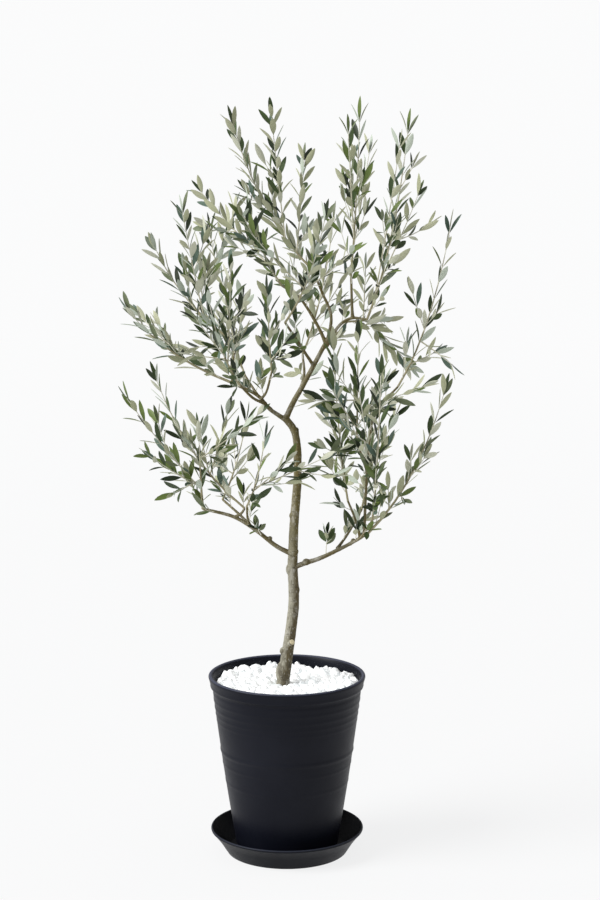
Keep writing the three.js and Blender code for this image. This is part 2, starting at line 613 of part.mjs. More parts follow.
const built = [...grownLimbs.values()].map((limb) => limb.solid);
for (const tuft of tufts) {
  const solid = growTuft(tuft, grownLimbs.get(tuft.limb).skin, built);
  built.push(solid);
  tree.add(namedMesh(tuft.name, solid, foliage));
}
for (const mass of masses) {
  const solid = growMass(mass, grownLimbs.get(mass.limb), built);
  built.push(solid);
  tree.add(namedMesh(mass.name, solid, foliage));
}

const object = new THREE.Group();
object.name = "potted_olive_tree";
object.add(planter, tree);

export default object;
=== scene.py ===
import math

import bpy
import numpy as np
from mathutils import Euler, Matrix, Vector


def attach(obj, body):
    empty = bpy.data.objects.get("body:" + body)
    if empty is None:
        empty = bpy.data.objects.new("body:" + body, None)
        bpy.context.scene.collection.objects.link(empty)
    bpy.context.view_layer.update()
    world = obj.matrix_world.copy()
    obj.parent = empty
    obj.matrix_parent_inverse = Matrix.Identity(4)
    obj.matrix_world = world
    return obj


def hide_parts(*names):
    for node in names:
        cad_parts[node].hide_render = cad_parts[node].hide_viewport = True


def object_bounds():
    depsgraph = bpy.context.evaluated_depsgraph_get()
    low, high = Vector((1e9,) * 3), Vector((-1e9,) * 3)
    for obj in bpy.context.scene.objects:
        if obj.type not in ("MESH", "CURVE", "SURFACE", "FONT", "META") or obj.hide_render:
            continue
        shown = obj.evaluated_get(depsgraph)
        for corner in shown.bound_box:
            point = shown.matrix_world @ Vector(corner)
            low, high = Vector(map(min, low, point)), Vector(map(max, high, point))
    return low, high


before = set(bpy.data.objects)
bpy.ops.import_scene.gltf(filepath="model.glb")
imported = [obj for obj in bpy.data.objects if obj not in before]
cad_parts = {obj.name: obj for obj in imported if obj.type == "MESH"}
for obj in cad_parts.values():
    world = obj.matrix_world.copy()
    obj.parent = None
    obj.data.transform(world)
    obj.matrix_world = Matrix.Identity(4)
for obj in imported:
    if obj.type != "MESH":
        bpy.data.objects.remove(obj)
solid_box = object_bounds()
bpy.ops.object.select_all(action="DESELECT")

MM = 0.001
GOLDEN_ANGLE = math.pi * (3 - math.sqrt(5))
UP = np.array([0.0, 0.0, 1.0])

# The planter: the level of the pot's foot, and heights that count from there
POT_FOOT = 3.3
POT_HEIGHT = 346
POT_FOOT_RADIUS = 96
POT_RIM_RADIUS = 150.3
POT_WALL = 3.2
POT_FLOOR = 5
POT_BELLY = 2
LIP_HEIGHT = 24
LIP_FOOT_RADIUS = 144.6
LIP_STEP = 1.6
RIM_WIDTH = 8
# Rings round the pot: height above its foot, half width, and how far each stands out or goes in
POT_RINGS = [(317, 6, -1.1), (299, 5, 0.7), (284, 5, 0.65), (271, 4, 0.5), (259, 4, 0.4), (200, 7, 1.2),
             (175, 5, 0.5), (139, 6, 0.5)]
PROFILE_STEP = 1.75
SAUCER_FOOT_RADIUS = 116
SAUCER_RIM_RADIUS = 147
SAUCER_HEIGHT = 47
SAUCER_WALL = 2.6
SAUCER_FLOOR = 3
# How finely the planter is turned, and in metres how near points melt together and edges are rounded
TURNING_STEPS = 144
TOUCHING = 0.00001
EDGE_ROUNDING = 0.0005
# Where the painted highlight along the rims fades in, in metres above the ground
POT_RIM_HIGHLIGHT = (0.3462, 0.3486)
SAUCER_RIM_HIGHLIGHT = (0.0438, 0.0464)

# The pebbles, in two layers: how many, their middle level and its play, how far out they reach,
# their rough radius, and how much higher they lie at the pot's wall
PEBBLE_LAYERS = [
    {"count": 360, "level": 318.5, "lift": 1.2, "reach": 132, "size": 9, "edge_rise": 6},
    {"count": 275, "level": 325, "lift": 3.2, "reach": 127, "size": 8.9, "edge_rise": 7},
]
PEBBLE_SEED = 5
PEBBLE_BED_RADIUS = 138.4
# How far apart pebbles settle, beside places that share the bed evenly
PEBBLE_SPACING = 1.02
# A pebble's length, breadth and height in shares of its size, with the play of size and height
PEBBLE_LENGTH, PEBBLE_BREADTH = 1.35, 0.92
PEBBLE_LEAST_HEIGHT, PEBBLE_HEIGHT_PLAY = 0.7, 0.14
PEBBLE_LEAST_SIZE, PEBBLE_SIZE_PLAY = 0.8, 0.4
# The least and the most that a pebble is turned about each axis
PEBBLE_TURNS = (-1.1, -1.1, 0), (1.1, 1.1, 6.28)
# How much a pebble thins towards its ends, how many flats are struck off it, and their distance
# from its middle
PEBBLE_TAPER = 0.3
PEBBLE_CUTS = 6
PEBBLE_CUT_DISTANCE = (0.55, 0.85)
# Pebbles keep this far from the middle of the trunk's foot
TRUNK_FOOT = (-7, 0)
TRUNK_KEEP_OUT = 17

# The bark, in metres: the grain of its skin, and for each relief the size of its clouds, how far
# they are drawn out upwards and their depth
BARK_GRAIN = 0.0009
TRUNK_RELIEF = [(0.014, 2.5, 0.0018), (0.004, 3.0, 0.0008)]
BOUGH_RELIEF = [(0.006, 1.5, 0.0006)]
# The way that the bark's side turned from the light faces, where brown is painted on as its shade, and where
# on it that painted brown begins and is full
SHADED_SIDE_FACING = (0.9, 0.25, -0.35)
SHADED_SIDE_EDGE = (0.2, 1.2)
# Between these heights the bark turns olive, and the foot's dull mottling thins out
OLIVE_FROM = (0.52, 0.64)
DULL_UP_TO = (0.36, 0.46)

# The space that the crown keeps to
CROWN_LOW = np.array([-320, -262, 640])
CROWN_HIGH = np.array([330, 262, 1442])
# How much a limb's radius gains at its root, and over which length that fades
ROOT_COLLAR = (1.3, 9)
TRUNK_FLARE = (3.6, 24)
# The leading shoots of a mass: how far out and up their bend lies on the way to their end, where
# the fan forks off the main shoot, their radii, and the share of a shoot that is bare
STEM_BEND = (0.68, 0.34)
FORK_BEND = (0.54, 0.46)
FORK_RANGE = (0.1, 0.42)
STEM_TIP_RADIUS = 0.8
FORK_RADII = (1.5, 0.75)
LEADING_BARE = 0.08
# How far a mass's space reaches past the ends of its leading shoots
SPACE_MARGIN = 38
# Side shoots, the same as in the solids: the share of their parent where they start, their spacing,
# how far they turn from it and rise, their reach near its start and its end with some play, their
# radius at both ends and the share that is bare
SIDE_SHOOTS = {"first": 0.4, "spacing": 120, "spread": 0.7, "rise": 0.4, "reaches": (121, 68),
               "play": 0.2, "radii": (1.2, 0.7), "bare": 0.1}

# Shoots that the solids leave out: fine side twigs on the leading shoots, and leafy spurs on
# the boughs from a share of their length on
FINE_SHOOTS = {"first": 0.06, "spacing": 130, "spread": 0.5, "rise": 0.5, "reaches": (84, 56),
               "play": 0.3, "radii": (0.9, 0.6), "bare": 0.12}
SPUR_SPACING, SPUR_SPREAD, SPUR_RISE = 45, 0.8, 0.9
SPUR_SPACING_PLAY = 0.3
SPUR_REACH = (56, 40)
SPUR_RADII = (0.9, 0.6)
SPUR_BARE = 0.2
SPUR_FROM = {"trunk": 1, "leader_bough": 1, "left_bough": 0.62, "low_left_bough": 0.86,
             "low_left_inner_bough": 0.8, "low_back_bough": 0.7, "low_right_bough": 0.8,
             "crown_left_bough": 0.5, "crown_middle_bough": 0.9, "crown_right_bough": 0.5,
             "crown_top_bough": 0.7, "left_upper_bough": 0.7, "front_left_bough": 0.6,
             "back_left_bough": 0.6}
SPUR_FROM_ELSEWHERE = 0.2
SPURS_UP_TO = 0.98
# How far inside the box round the solids twigs and spurs keep, and the share of a twig that does
TWIG_MARGIN, SPUR_MARGIN = 1, 20
TWIG_REACH = 0.9

# Seeded numbers, drawn as in the solids: a seed's factor, each draw's factor and step, their range
SEED_FACTOR = 2654435761
DRAW_FACTOR, DRAW_STEP = 1664525, 1013904223
DRAW_RANGE = 2**32
# Each mass has a hundred seeds for its shoots, from the middle on for the fine ones, and a
# thousand for its leaves. The boughs' spurs have their own, a hundred a bough for the leaves.
SHOOT_SEEDS, FINE_SEEDS, LEAF_SEEDS = 100, 50, 1000
SPUR_SEEDS, SPUR_LEAF_SEEDS, SPUR_LEAF_SEEDS_EACH = 400, 4000, 100

# Leaves stand in opposite pairs, each pair a quarter turn on from the last, with the last leaf
# at the shoot's end. Two values in brackets are for a shoot's start and its end.
PAIR_SPACING = 22.5
PAIR_TURN_PLAY = 0.3
PAIR_SKEW = 0.15
PAIR_CROWDING = 0.88
FIRST_PAIR = 0.3
# The last leaf's greatest length, its slimness beside the others', and the share of it past the twig
LAST_LEAF = 38
LAST_LEAF_SLIMNESS = 0.9
LAST_LEAF_FREE = 0.8
LEAF_SPREAD = (0.6, 0.42)
LEAF_SPREAD_PLAY = 0.3
LEAF_LENGTH = (43, 41)
LEAF_LENGTH_PLAY = 0.15
LEAF_SLIMNESS = 0.25
LEAF_SLIMNESS_PLAY = 0.12
LEAF_THICKNESS = 0.5
LEAF_FOLD = 0.11
LEAF_ROLL = 0.95
LEAF_TURN_UP = 0.1
LEAST_CURL, MOST_CURL = -0.05, 0.13
# How deep a leaf is rooted: its distance from the shoot's middle, as a share of the shoot's radius
LEAF_ROOT = 0.6
# The blade's outline: shares of its length, and of its full width there
LEAF_STATIONS = [(0.07, 0.15), (0.22, 0.6), (0.4, 0.93), (0.57, 1.0), (0.78, 0.76), (0.93, 0.33)]
# Where along the blade its sides are held to the box round the solids
LEAF_MIDDLE = 0.6
# The first pair's leaves are shorter and rounder than the others
FIRST_LEAF_LENGTH, FIRST_LEAF_SLIMNESS = 0.62, 1.55
# The share of leaves with a tone of their own
OWN_TONE = 0.75
# How far a blade keeps from limbs, beside a share of its width, and where along it that is looked at
LIMB_CLEARANCE = 1.5
LIMB_CLEARANCE_WIDTH = 0.2
LIMB_CLEARANCE_AT = (0.35, 0.6, 0.8, 1.0)
# How far a leaf's very tip may stand out of its mass's space
TIP_OVERLAP = 0.3

# Where each limb runs, from its root to its tip, and its radius at both ends
LIMBS = {
    "trunk": ((12.2, 6.8), [(-9, 0, 296), (-8, 0, 327), (2, 2, 396), (13, 5, 484), (11, 8, 566),
                            (14.5, 5, 649), (20.5, 0, 735), (15, -2, 818), (-4, 0, 846)]),
    "low_left_bough": ((4.6, 2.9), [(10, 6, 582), (-19, 6, 597), (-60, 12, 628), (-100, 20, 651),
                                    (-160, 30, 665)]),
    "low_right_bough": ((5.0, 3.0), [(10, 7, 555), (33, 6, 564), (63, 6, 574), (124, 12, 603),
                                     (155, 20, 620)]),
    "left_bough": ((4.2, 2.9), [(-2, 0, 841), (-33, -4, 863), (-54, -9, 888), (-105, -20, 915)]),
    "leader_bough": ((5.6, 4.0), [(-4, 0, 838), (12, 0, 873), (29, 0, 903), (47, 0, 937),
                                  (74, 0, 988)]),
    "crown_left_bough": ((3.4, 2.3), [(74, 0, 984), (57, 0, 1020), (23, -4, 1072), (-10, -10, 1095)]),
    "crown_middle_bough": ((3.3, 2.3), [(75, 0, 984), (83, 0, 1036), (65, 2, 1083), (50, 0, 1120)]),
    "crown_right_bough": ((3.6, 2.4), [(74, 0, 980), (101, 2, 1021), (122, 4, 1032), (150, 0, 1030)]),
    "crown_top_bough": ((2.9, 2.2), [(123, 4, 1031), (121, 4, 1078), (120, 5, 1120)]),
    "low_left_inner_bough": ((2.8, 2.2), [(-100, 20, 650), (-86, 13, 660), (-80, 10, 670)]),
    "low_crossing_bough": ((2.6, 2.2), [(-70, 14, 635), (-74, -8, 655), (-75, -25, 680)]),
    "low_back_bough": ((3.0, 2.3), [(-60, 12, 627), (-88, 60, 645), (-125, 100, 670)]),
    "low_right_upper_bough": ((3.0, 2.2), [(147, 18, 617), (149, 4, 690), (152, -4, 760),
                                           (156, 0, 805), (167, 5, 855), (209, 12, 902)]),
    "low_right_inner_bough": ((2.6, 2.2), [(140, 15, 610), (130, -4, 650), (115, -20, 690)]),
    "front_right_bough": ((2.9, 2.3), [(120, 11, 601), (140, -28, 622), (160, -58, 660)]),
    "low_right_back_bough": ((2.8, 2.2), [(96, 9, 592), (118, 48, 615), (144, 88, 652)]),
    "centre_right_bough": ((2.5, 2.1), [(151, -2, 745), (141, -38, 775), (130, -70, 815)]),
    "centre_left_bough": ((2.6, 2.1), [(-48, -8, 881), (-37, -38, 900), (-27, -60, 940)]),
    "left_upper_bough": ((2.8, 2.2), [(-100, -19, 913), (-101, -2, 945), (-95, 10, 985)]),
    "front_left_bough": ((3.0, 2.3), [(-40, -6, 872), (-62, -55, 890), (-85, -100, 920)]),
    "back_left_bough": ((3.0, 2.3), [(-30, -3, 861), (-55, 55, 880), (-80, 105, 910)]),
    "front_bough": ((3.2, 2.3), [(50, 0, 944), (27, -55, 985), (-2, -105, 1035)]),
    "back_bough": ((3.2, 2.3), [(26, 0, 898), (33, 62, 920), (30, 120, 950)]),
    "back_right_bough": ((3.1, 2.3), [(70, 0, 978), (90, 52, 990), (115, 105, 1015)]),
}
# Two stumps on the trunk: an old one beside the fork, and a cut twig lower down
CUT_STUB = ((7, 6), [(20, 0, 775), (17, 0, 824)])
PRUNED_TWIG = ((5.4, 5.0), [(4, -2, 407), (9.5, -13, 414)])
# Knots, old leaf scars and nubs on the bark: place, radius and how far each is drawn out upwards
TRUNK_KNOTS = [
    ((-8.3, 0, 350), 13, 1.9), ((-6.8, 1, 394), 7, 1.1), ((16.8, 4, 478), 6.5, 1.3),
    ((17.2, 5, 512), 7.2, 1.5), ((6.5, 7, 552), 8, 1.5), ((12, 2, 588), 9.8, 1), ((10, 4, 657), 5.6, 1.2),
]
BOUGH_KNOTS = [((126, 11, 607), 4.6, 1), ((-32, 8, 612), 4.6, 1), ((37, 5, 567), 7.4, 0.9)]
# Old pruning cuts: where each face is, the way it faces, its radius, and whether it has gone dark
CUT_FACES = [
    ((10.3, -15, 415.5), (0.45, -0.8, 0.4), 4.9, False),
    ((16.8, -2.5, 823.4), (0, -0.55, 0.83), 5.4, True),
]
CUT_FACE_DEPTH = 1.6

# Each mass of foliage: its limb, its seed, where its main shoot ends, where the first and the
# last of its fan of shoots end, how many the fan has, and how thickly its leaves stand.
MASSES = {
    "crown_top": ("crown_top_bough", 11, (135, -20, 1442), (110, -90, 1410), (160, 95, 1370), 2, 0.7),
    "crown_middle": ("crown_middle_bough", 12, (-110, 55, 1425), (-30, -45, 1440), (35, 130, 1355), 2, 1.3),
    "crown_right": ("crown_right_bough", 13, (225, -60, 1420), (260, 110, 1285), (205, -165, 1385), 2, 0.6),
    "crown_left": ("crown_left_bough", 14, (-75, -80, 1285), (-180, 90, 1285), (-85, -170, 1250), 2, 0.95),
    "left_outer": ("left_bough", 15, (-310, -30, 1075), (-300, 60, 1055), (-260, 90, 1035), 2, 1.0),
    "left_upper": ("left_upper_bough", 16, (-260, 50, 1190), (-195, -60, 1265), (-90, 150, 1260), 2, 1.15),
    "low_left_outer": ("low_left_bough", 17, (-165, -20, 845), (-310, -70, 915), (-220, -120, 715), 3, 0.8),
    "low_left_inner": ("low_left_inner_bough", 18,
                       (-260, 60, 945), (-175, 110, 840), (-30, -20, 875), 3, 1.0),
    "low_crossing": ("low_crossing_bough", 19, (-35, -130, 860), (130, -90, 815), (20, -110, 800), 2, 0.8),
    "low_back": ("low_back_bough", 20, (-75, 190, 850), (-145, 150, 740), (-60, 180, 760), 2, 0.6),
    "low_right_outer": ("low_right_bough", 21, (305, 0, 930), (220, -60, 690), (195, 100, 715), 2, 0.8),
    "right_tall": ("low_right_upper_bough", 22, (310, 20, 1235), (330, -40, 930), (305, 60, 975), 2, 0.75),
    "low_right_inner": ("low_right_inner_bough", 23,
                        (85, -60, 1025), (50, -60, 810), (135, -50, 820), 3, 1.0),
    "front_right": ("front_right_bough", 24, (170, -200, 990), (175, -150, 725), (125, -210, 955), 3, 0.7),
    "low_right_back": ("low_right_back_bough", 30,
                       (180, 220, 880), (225, 180, 855), (125, 220, 690), 3, 0.65),
    "centre_right": ("centre_right_bough", 34, (130, -130, 1045), (20, -130, 895), (275, -150, 935), 4, 1.0),
    "centre_left": ("centre_left_bough", 33, (-35, -110, 1125), (5, -120, 1070), (10, -140, 980), 3, 1.35),
    "front_left": ("front_left_bough", 25, (-140, -225, 1115), (-195, -190, 990), (-95, -240, 1170), 3, 1.0),
    "back_left": ("back_left_bough", 26, (-130, 225, 1115), (-225, 180, 950), (-85, 240, 1075), 3, 1.0),
    "front": ("front_bough", 27, (75, -230, 1265), (-75, -250, 1225), (135, -240, 1190), 2, 0.95),
    "back": ("back_bough", 28, (95, 235, 1240), (-50, 240, 1115), (130, 250, 1120), 3, 0.5),
    "back_right": ("back_right_bough", 29, (205, 215, 1005), (260, 190, 895), (155, 230, 1140), 2, 1.1),
}
# Masses on limbs whose tips are lower than this share one piece of leaves, the others another
LOW_LIMB_TIPS = 800
# The two small tufts on the low boughs: seed, where the stem starts and where it ends
TUFTS = {
    "low_left_tuft": (31, (-48, 9, 617), (-58, -12, 640)),
    "low_right_tuft": (32, (74, 7, 579), (76, 0, 622)),
}
TUFT_STEM_RADII = (1.1, 0.8)
TUFT_LEAVES = 9
TUFT_LEAF_LENGTH = 27
TUFT_LEAF_LENGTH_PLAY = 0.15
TUFT_LEAF_SLIMNESS = 0.4
TUFT_LEAF_ROLL = 2.2
TUFT_LEAF_CURL = 0.05
# The first leaf's place on the stem and the step down to the next, and how far they spread
TUFT_TOP, TUFT_STEP = 0.98, 0.06
TUFT_SPREAD = (0.25, 1.0)

# Paints, as the eye sees them from 0 to 255. A plastic's are its own, dusty, and the paler painted highlight
# along its rim.
POT_PAINTS = (14, 16, 25), (23, 25, 34), (66, 69, 84)
SAUCER_PAINTS = (14, 16, 22), (23, 25, 31), (44, 47, 57)
SOIL_PAINT, DARK_CRUMBS, PALE_CRUMBS = (48, 38, 30), (34, 27, 21), (80, 64, 50)
PEBBLE_PAINTS = [(245, 246, 246), (238, 241, 242), (249, 250, 250)]
# The bark's brown is painted shade, on its side turned from the light
BARK_PAINTS = {"grey": (152, 149, 134), "shaded_brown": (84, 72, 42), "olive": (110, 100, 55),
               "dull": (86, 81, 68), "pale": (180, 177, 168), "dark": (52, 46, 32)}
FRESH_CUT_PAINT, OLD_CUT_PAINT = (214, 202, 168), (62, 54, 40)
LEAF_UPPER_PAINTS = [(48, 66, 28), (70, 88, 48), (98, 116, 56), (86, 106, 92), (104, 114, 84),
                     (30, 44, 16)]
LEAF_LOWER_PAINTS = [(184, 186, 158), (198, 200, 180), (168, 171, 140), (188, 197, 182)]
TWIG_PAINTS = [(224, 222, 207), (202, 198, 176), (160, 153, 124)]
# The radii past which a twig takes its next, browner paint
TWIG_BROWNS_AT = (1.15, 1.7)
# Painted light: the chips glow with their own colour, standing in for light through the quartz and lifting
# their shaded sides
PEBBLE_PAINTED_GLOW = 0.18

# The studio and the view, in metres and degrees, and the lens in millimetres
SURROUND = (0.965, 0.967, 0.97, 1)
FILL_LIGHT = 0.46
KEY_LIGHT = 3.4
KEY_LIGHT_FROM = (-1.1, -0.45, 0.9)
KEY_LIGHT_BREADTH = 35
FLOOR_RADIUS = 40
FLOOR_DEPTH = 0.0002
FLOOR_COLOUR = (0.82, 0.82, 0.825, 1)
# How much of the surround's white the floor shows near the pot, and over which reach it turns all white
FLOOR_GLOW = 0.85
FLOOR_FADE = (1.2, 9.0)
CAMERA_PLACE = (0.025, -4.0, 1.437)
CAMERA_DOWN = 9.28
LENS_LENGTH, FILM_WIDTH = 86.12, 36


# Finishes


def paint(red, green, blue):
    """A colour as the eye sees it, from 0 to 255, in the linear light that the renderer uses."""
    shares = [value / 255 for value in (red, green, blue)]
    linear = [s / 12.92 if s <= 0.04045 else ((s + 0.055) / 1.055) ** 2.4 for s in shares]
    return (*linear, 1.0)


class Field:
    """A value that changes over a surface, with plain arithmetic."""

    def __init__(self, finish, socket):
        self.finish = finish
        self.socket = socket

    def _math(self, operation, *values):
        node = self.finish.node("ShaderNodeMath", {"operation": operation}, dict(enumerate(values)))
        return self.finish.field(node, 0)

    def __add__(self, other):
        return self._math("ADD", self, other)

    def __radd__(self, other):
        return self._math("ADD", other, self)

    def __sub__(self, other):
        return self._math("SUBTRACT", self, other)

    def __rsub__(self, other):
        return self._math("SUBTRACT", other, self)

    def __mul__(self, other):
        return self._math("MULTIPLY", self, other)

    def __rmul__(self, other):
        return self._math("MULTIPLY", other, self)


class Finish:
    """A material: one surface shader, with whatever changes over the surface linked to it."""

    def __init__(self, name, colour, roughness, **surface):
        self.material = bpy.data.materials.new(name)
        self.material.use_nodes = True
        self.tree = self.material.node_tree
        self.shader = next(n for n in self.tree.nodes if n.type == "BSDF_PRINCIPLED")
        self.material.diffuse_color = colour
        self.set("Base Color", colour)
        self.set("Roughness", roughness)
        for socket, value in surface.items():
            self.set(socket.replace("_", " "), value)

    def set(self, socket, value):
        """Sets one of the shader's own sockets, or links a field to it."""
        target = self.shader.inputs[socket]
        if isinstance(value, Field):
            self.tree.links.new(value.socket, target)
        else:
            target.default_value = value

    def node(self, kind, settings=None, sockets=None):
        """Adds a node: its settings first, then the values or links of its sockets."""
        node = self.tree.nodes.new(kind)
        for name, value in (settings or {}).items():
            setattr(node, name, value)
        for key, value in (sockets or {}).items():
            if isinstance(value, Field):
                self.tree.links.new(value.socket, node.inputs[key])
            else:
                node.inputs[key].default_value = value
        return node

    def field(self, node, output):
        return Field(self, node.outputs[output])

    def place(self, scale=(1, 1, 1)):
        """The place on the piece, stretched by a scale."""
        coordinates = self.node("ShaderNodeTexCoord")
        mapping = self.node("ShaderNodeMapping", {}, {
            "Vector": self.field(coordinates, "Object"), "Scale": scale})
        return self.field(mapping, "Vector")

    def noise(self, scale, stretch=(1, 1, 1), detail=4.0):
        """Soft noise from 0 to 1, with so many grains to the metre."""
        node = self.node("ShaderNodeTexNoise", {}, {
            "Vector": self.place(stretch), "Scale": scale, "Detail": detail, "Roughness": 0.55})
        return self.field(node, "Fac")

    def patches(self, scale, edge, stretch=(1, 1, 1), detail=4.0):
        """Patches of 1 on 0, cut out of soft noise, with the two values that their edge runs between."""
        return self.between(self.noise(scale, stretch, detail), *edge)

    def spots(self, scale, stretch=(1, 1, 1)):
        """The distance to the nearest of scattered points, so many to the metre."""
        node = self.node("ShaderNodeTexVoronoi", {}, {"Vector": self.place(stretch), "Scale": scale})
        return self.field(node, "Distance")

    def between(self, value, low, high):
        """0 below low, 1 above high and a smooth rise between."""
        node = self.node("ShaderNodeMapRange", {"interpolation_type": "SMOOTHSTEP"}, {
            "Value": value, "From Min": low, "From Max": high})
        return self.field(node, "Result")

    def own_value(self, name):
        """A value that the piece carries at each of its points."""
        return self.field(self.node("ShaderNodeAttribute", {"attribute_name": name}), "Fac")

    def height_on_piece(self):
        """The height above the ground, in metres."""
        split = self.node("ShaderNodeSeparateXYZ", {}, {"Vector": self.place()})
        return self.field(split, "Z")

    def blend(self, share, first, second):
        """A colour between two, by a share."""
        node = self.node("ShaderNodeMix", {"data_type": "RGBA"}, {0: share, 6: first, 7: second})
        return self.field(node, 2)

    def relief(self, height, depth, distance):
        """A bump on the surface's normal. A height of 1 stands a distance proud, in metres."""
        bump = self.node("ShaderNodeBump", {}, {"Strength": depth, "Distance": distance, "Height": height})
        self.set("Normal", self.field(bump, "Normal"))


def charcoal_plastic(name, paints, highlight_band, grain, gloss):
    """Moulded matte plastic with a fine grain and a breath of dust, with a paler painted highlight along the
    rim.
    """
    own, dusty, rim_highlight = (paint(*colour) for colour in paints)
    finish = Finish(name, own, 0.42, Specular_IOR_Level=gloss)
    dust = finish.patches(9, (0.35, 0.75), detail=6)
    # Painted highlight: the top of the rim is paler, standing in for the sheen along it
    rim = finish.between(finish.height_on_piece(), *highlight_band)
    finish.set("Base Color", finish.blend(rim, finish.blend(dust * 0.6, own, dusty), rim_highlight))
    finish.set("Roughness", 0.36 + 0.14 * finish.noise(60))
    finish.relief(finish.noise(1500, detail=3) + 0.5 * finish.noise(300), depth=grain, distance=0.0003)
    return finish.material


def young_bark():
    """Smooth olive bark: grey, with brown painted on as shade on the side turned from the light, olive
    higher up and dull at the foot, mottled all over, with pale breathing pores and dark creases."""
    grey, shaded_brown, olive, dull, pale, dark = (paint(*colour) for colour in BARK_PAINTS.values())
    finish = Finish("young_bark", grey, 0.85, Specular_IOR_Level=0.25)
    patches = finish.noise(26, (1, 1, 0.45), detail=6)
    # Painted shade: the side turned from the light, broken into patches, takes the brown
    shaded_side = finish.between(finish.own_value("painted_shade_side") + 2.2 * patches, *SHADED_SIDE_EDGE)
    height = finish.height_on_piece()
    colour = finish.blend(shaded_side * 0.9, grey, shaded_brown)
    colour = finish.blend(finish.between(height, *OLIVE_FROM) * 0.6, colour, olive)
    mottle = finish.patches(78, (0.42, 0.6), (1, 1, 0.6), detail=5)
    colour = finish.blend(mottle * (0.7 - 0.45 * finish.between(height, *DULL_UP_TO)), colour, dull)
    lichen = finish.patches(46, (0.54, 0.68), (1, 1, 0.8), detail=6)
    colour = finish.blend(lichen * 0.5, colour, pale)
    pores = 1 - finish.between(finish.spots(210, (1, 1, 0.55)), 0.12, 0.3)
    colour = finish.blend(pores * 0.5, colour, pale)
    creases = 1 - finish.patches(120, (0.3, 0.44), (1, 1, 2.4), detail=8)
    colour = finish.blend(creases * 0.6, colour, dark)
    finish.set("Base Color", colour)
    grain = finish.noise(420, (1, 1, 0.4), detail=8)
    finish.relief(pores * 0.6 + grain - creases * 0.7, depth=0.6, distance=0.0006)
    return finish.material


def potting_soil():
    """Dark crumbs of compost."""
    finish = Finish("potting_soil", paint(*SOIL_PAINT), 1.0)
    crumbs = finish.patches(260, (0.35, 0.7), detail=8)
    finish.set("Base Color", finish.blend(crumbs, paint(*DARK_CRUMBS), paint(*PALE_CRUMBS)))
    finish.relief(crumbs, depth=1.0, distance=0.003)
    return finish.material


def plain(name, colour, roughness, gloss, glow=0):
    """One even colour, with its roughness, its gloss and a painted glow in its own colour that lights its
    shaded sides.
    """
    return Finish(name, paint(*colour), roughness, Specular_IOR_Level=gloss,
                  Emission_Color=paint(*colour), Emission_Strength=glow).material


def plain_set(name, colours, roughness, gloss, glow=0):
    return [plain(f"{name}_{i}", colour, roughness, gloss, glow) for i, colour in enumerate(colours)]


# Making and placing pieces


def keep(piece, slot, *nodes):
    """A finished piece rides with the plant and stands for its nodes, whose parts it hides. Its slot is not
    used.
    """
    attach(piece, "root")
    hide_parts(*nodes)


def dressed(piece, *materials):
    """Gives a piece its finishes, in the order in which its faces number them."""
    for material in materials:
        piece.data.materials.append(material)


def select_only(pieces):
    """Selects these pieces and nothing else, with the first of them active."""
    bpy.ops.object.select_all(action="DESELECT")
    for piece in pieces:
        piece.select_set(True)
    bpy.context.view_layer.objects.active = pieces[0]


def joined(name, parts):
    """Several pieces made one."""
    select_only(parts)
    bpy.ops.object.join()
    piece = bpy.context.object
    piece.name = piece.data.name = name
    return piece


def apply_modifier(piece, kind, **settings):
    modifier = piece.modifiers.new(kind.lower(), kind)
    for name, value in settings.items():
        setattr(modifier, name, value)
    bpy.context.view_layer.objects.active = piece
    bpy.ops.object.modifier_apply(modifier=modifier.name)


def turned_piece(name, profile):
    """A closed profile of (radius, height) points in millimetres, turned round the upright axis."""
    bpy.ops.mesh.primitive_plane_add(size=0.01)
    piece = bpy.context.object
    piece.name = piece.data.name = name
    bpy.ops.object.mode_set(mode="EDIT")
    bpy.ops.mesh.select_mode(type="VERT")
    bpy.ops.mesh.select_all(action="SELECT")
    bpy.ops.mesh.merge(type="CENTER")
    points = [Vector((radius * MM, 0, height * MM)) for radius, height in profile]
    bpy.ops.transform.translate(value=points[0])
    for last, point in zip(points, points[1:]):
        bpy.ops.mesh.extrude_region_move(TRANSFORM_OT_translate={"value": point - last})
    bpy.ops.mesh.select_all(action="SELECT")
    bpy.ops.mesh.spin(steps=TURNING_STEPS, angle=2 * math.pi, center=(0, 0, 0), axis=(0, 0, 1),
                      use_auto_merge=True)
    bpy.ops.mesh.select_all(action="SELECT")
    bpy.ops.mesh.remove_doubles(threshold=TOUCHING)
    bpy.ops.mesh.dissolve_degenerate(threshold=TOUCHING)
    bpy.ops.mesh.normals_make_consistent(inside=False)
    bpy.ops.object.mode_set(mode="OBJECT")
    apply_modifier(piece, "BEVEL", width=EDGE_ROUNDING, segments=2, limit_method="ANGLE",
                   angle_limit=math.radians(28))
    bpy.ops.object.shade_smooth_by_angle(angle=math.radians(35))
    return piece


def joined_piece(name, corners, faces, tones):
    """A mesh from arrays: corners in millimetres, faces, and the number of each face's finish."""
    mesh = bpy.data.meshes.new(name)
    mesh.from_pydata(corners * MM, [], faces)
    mesh.polygons.foreach_set("material_index", np.asarray(tones, np.int32))
    piece = bpy.data.objects.new(name, mesh)
    bpy.context.scene.collection.objects.link(piece)
    select_only([piece])
    return piece


# The planter


def pot_radius(height):
    """The pot's outer radius at a height above its foot, under the lip, with its rings."""
    share = height / (POT_HEIGHT - LIP_HEIGHT)
    radius = POT_FOOT_RADIUS + (LIP_FOOT_RADIUS - LIP_STEP - POT_FOOT_RADIUS) * share
    radius += POT_BELLY * math.sin(math.pi * share)
    for middle, half_width, depth in POT_RINGS:
        away = abs(height - middle) / half_width
        if away < 1:
            radius += depth * math.cos(away * math.pi / 2) ** 2
    return radius


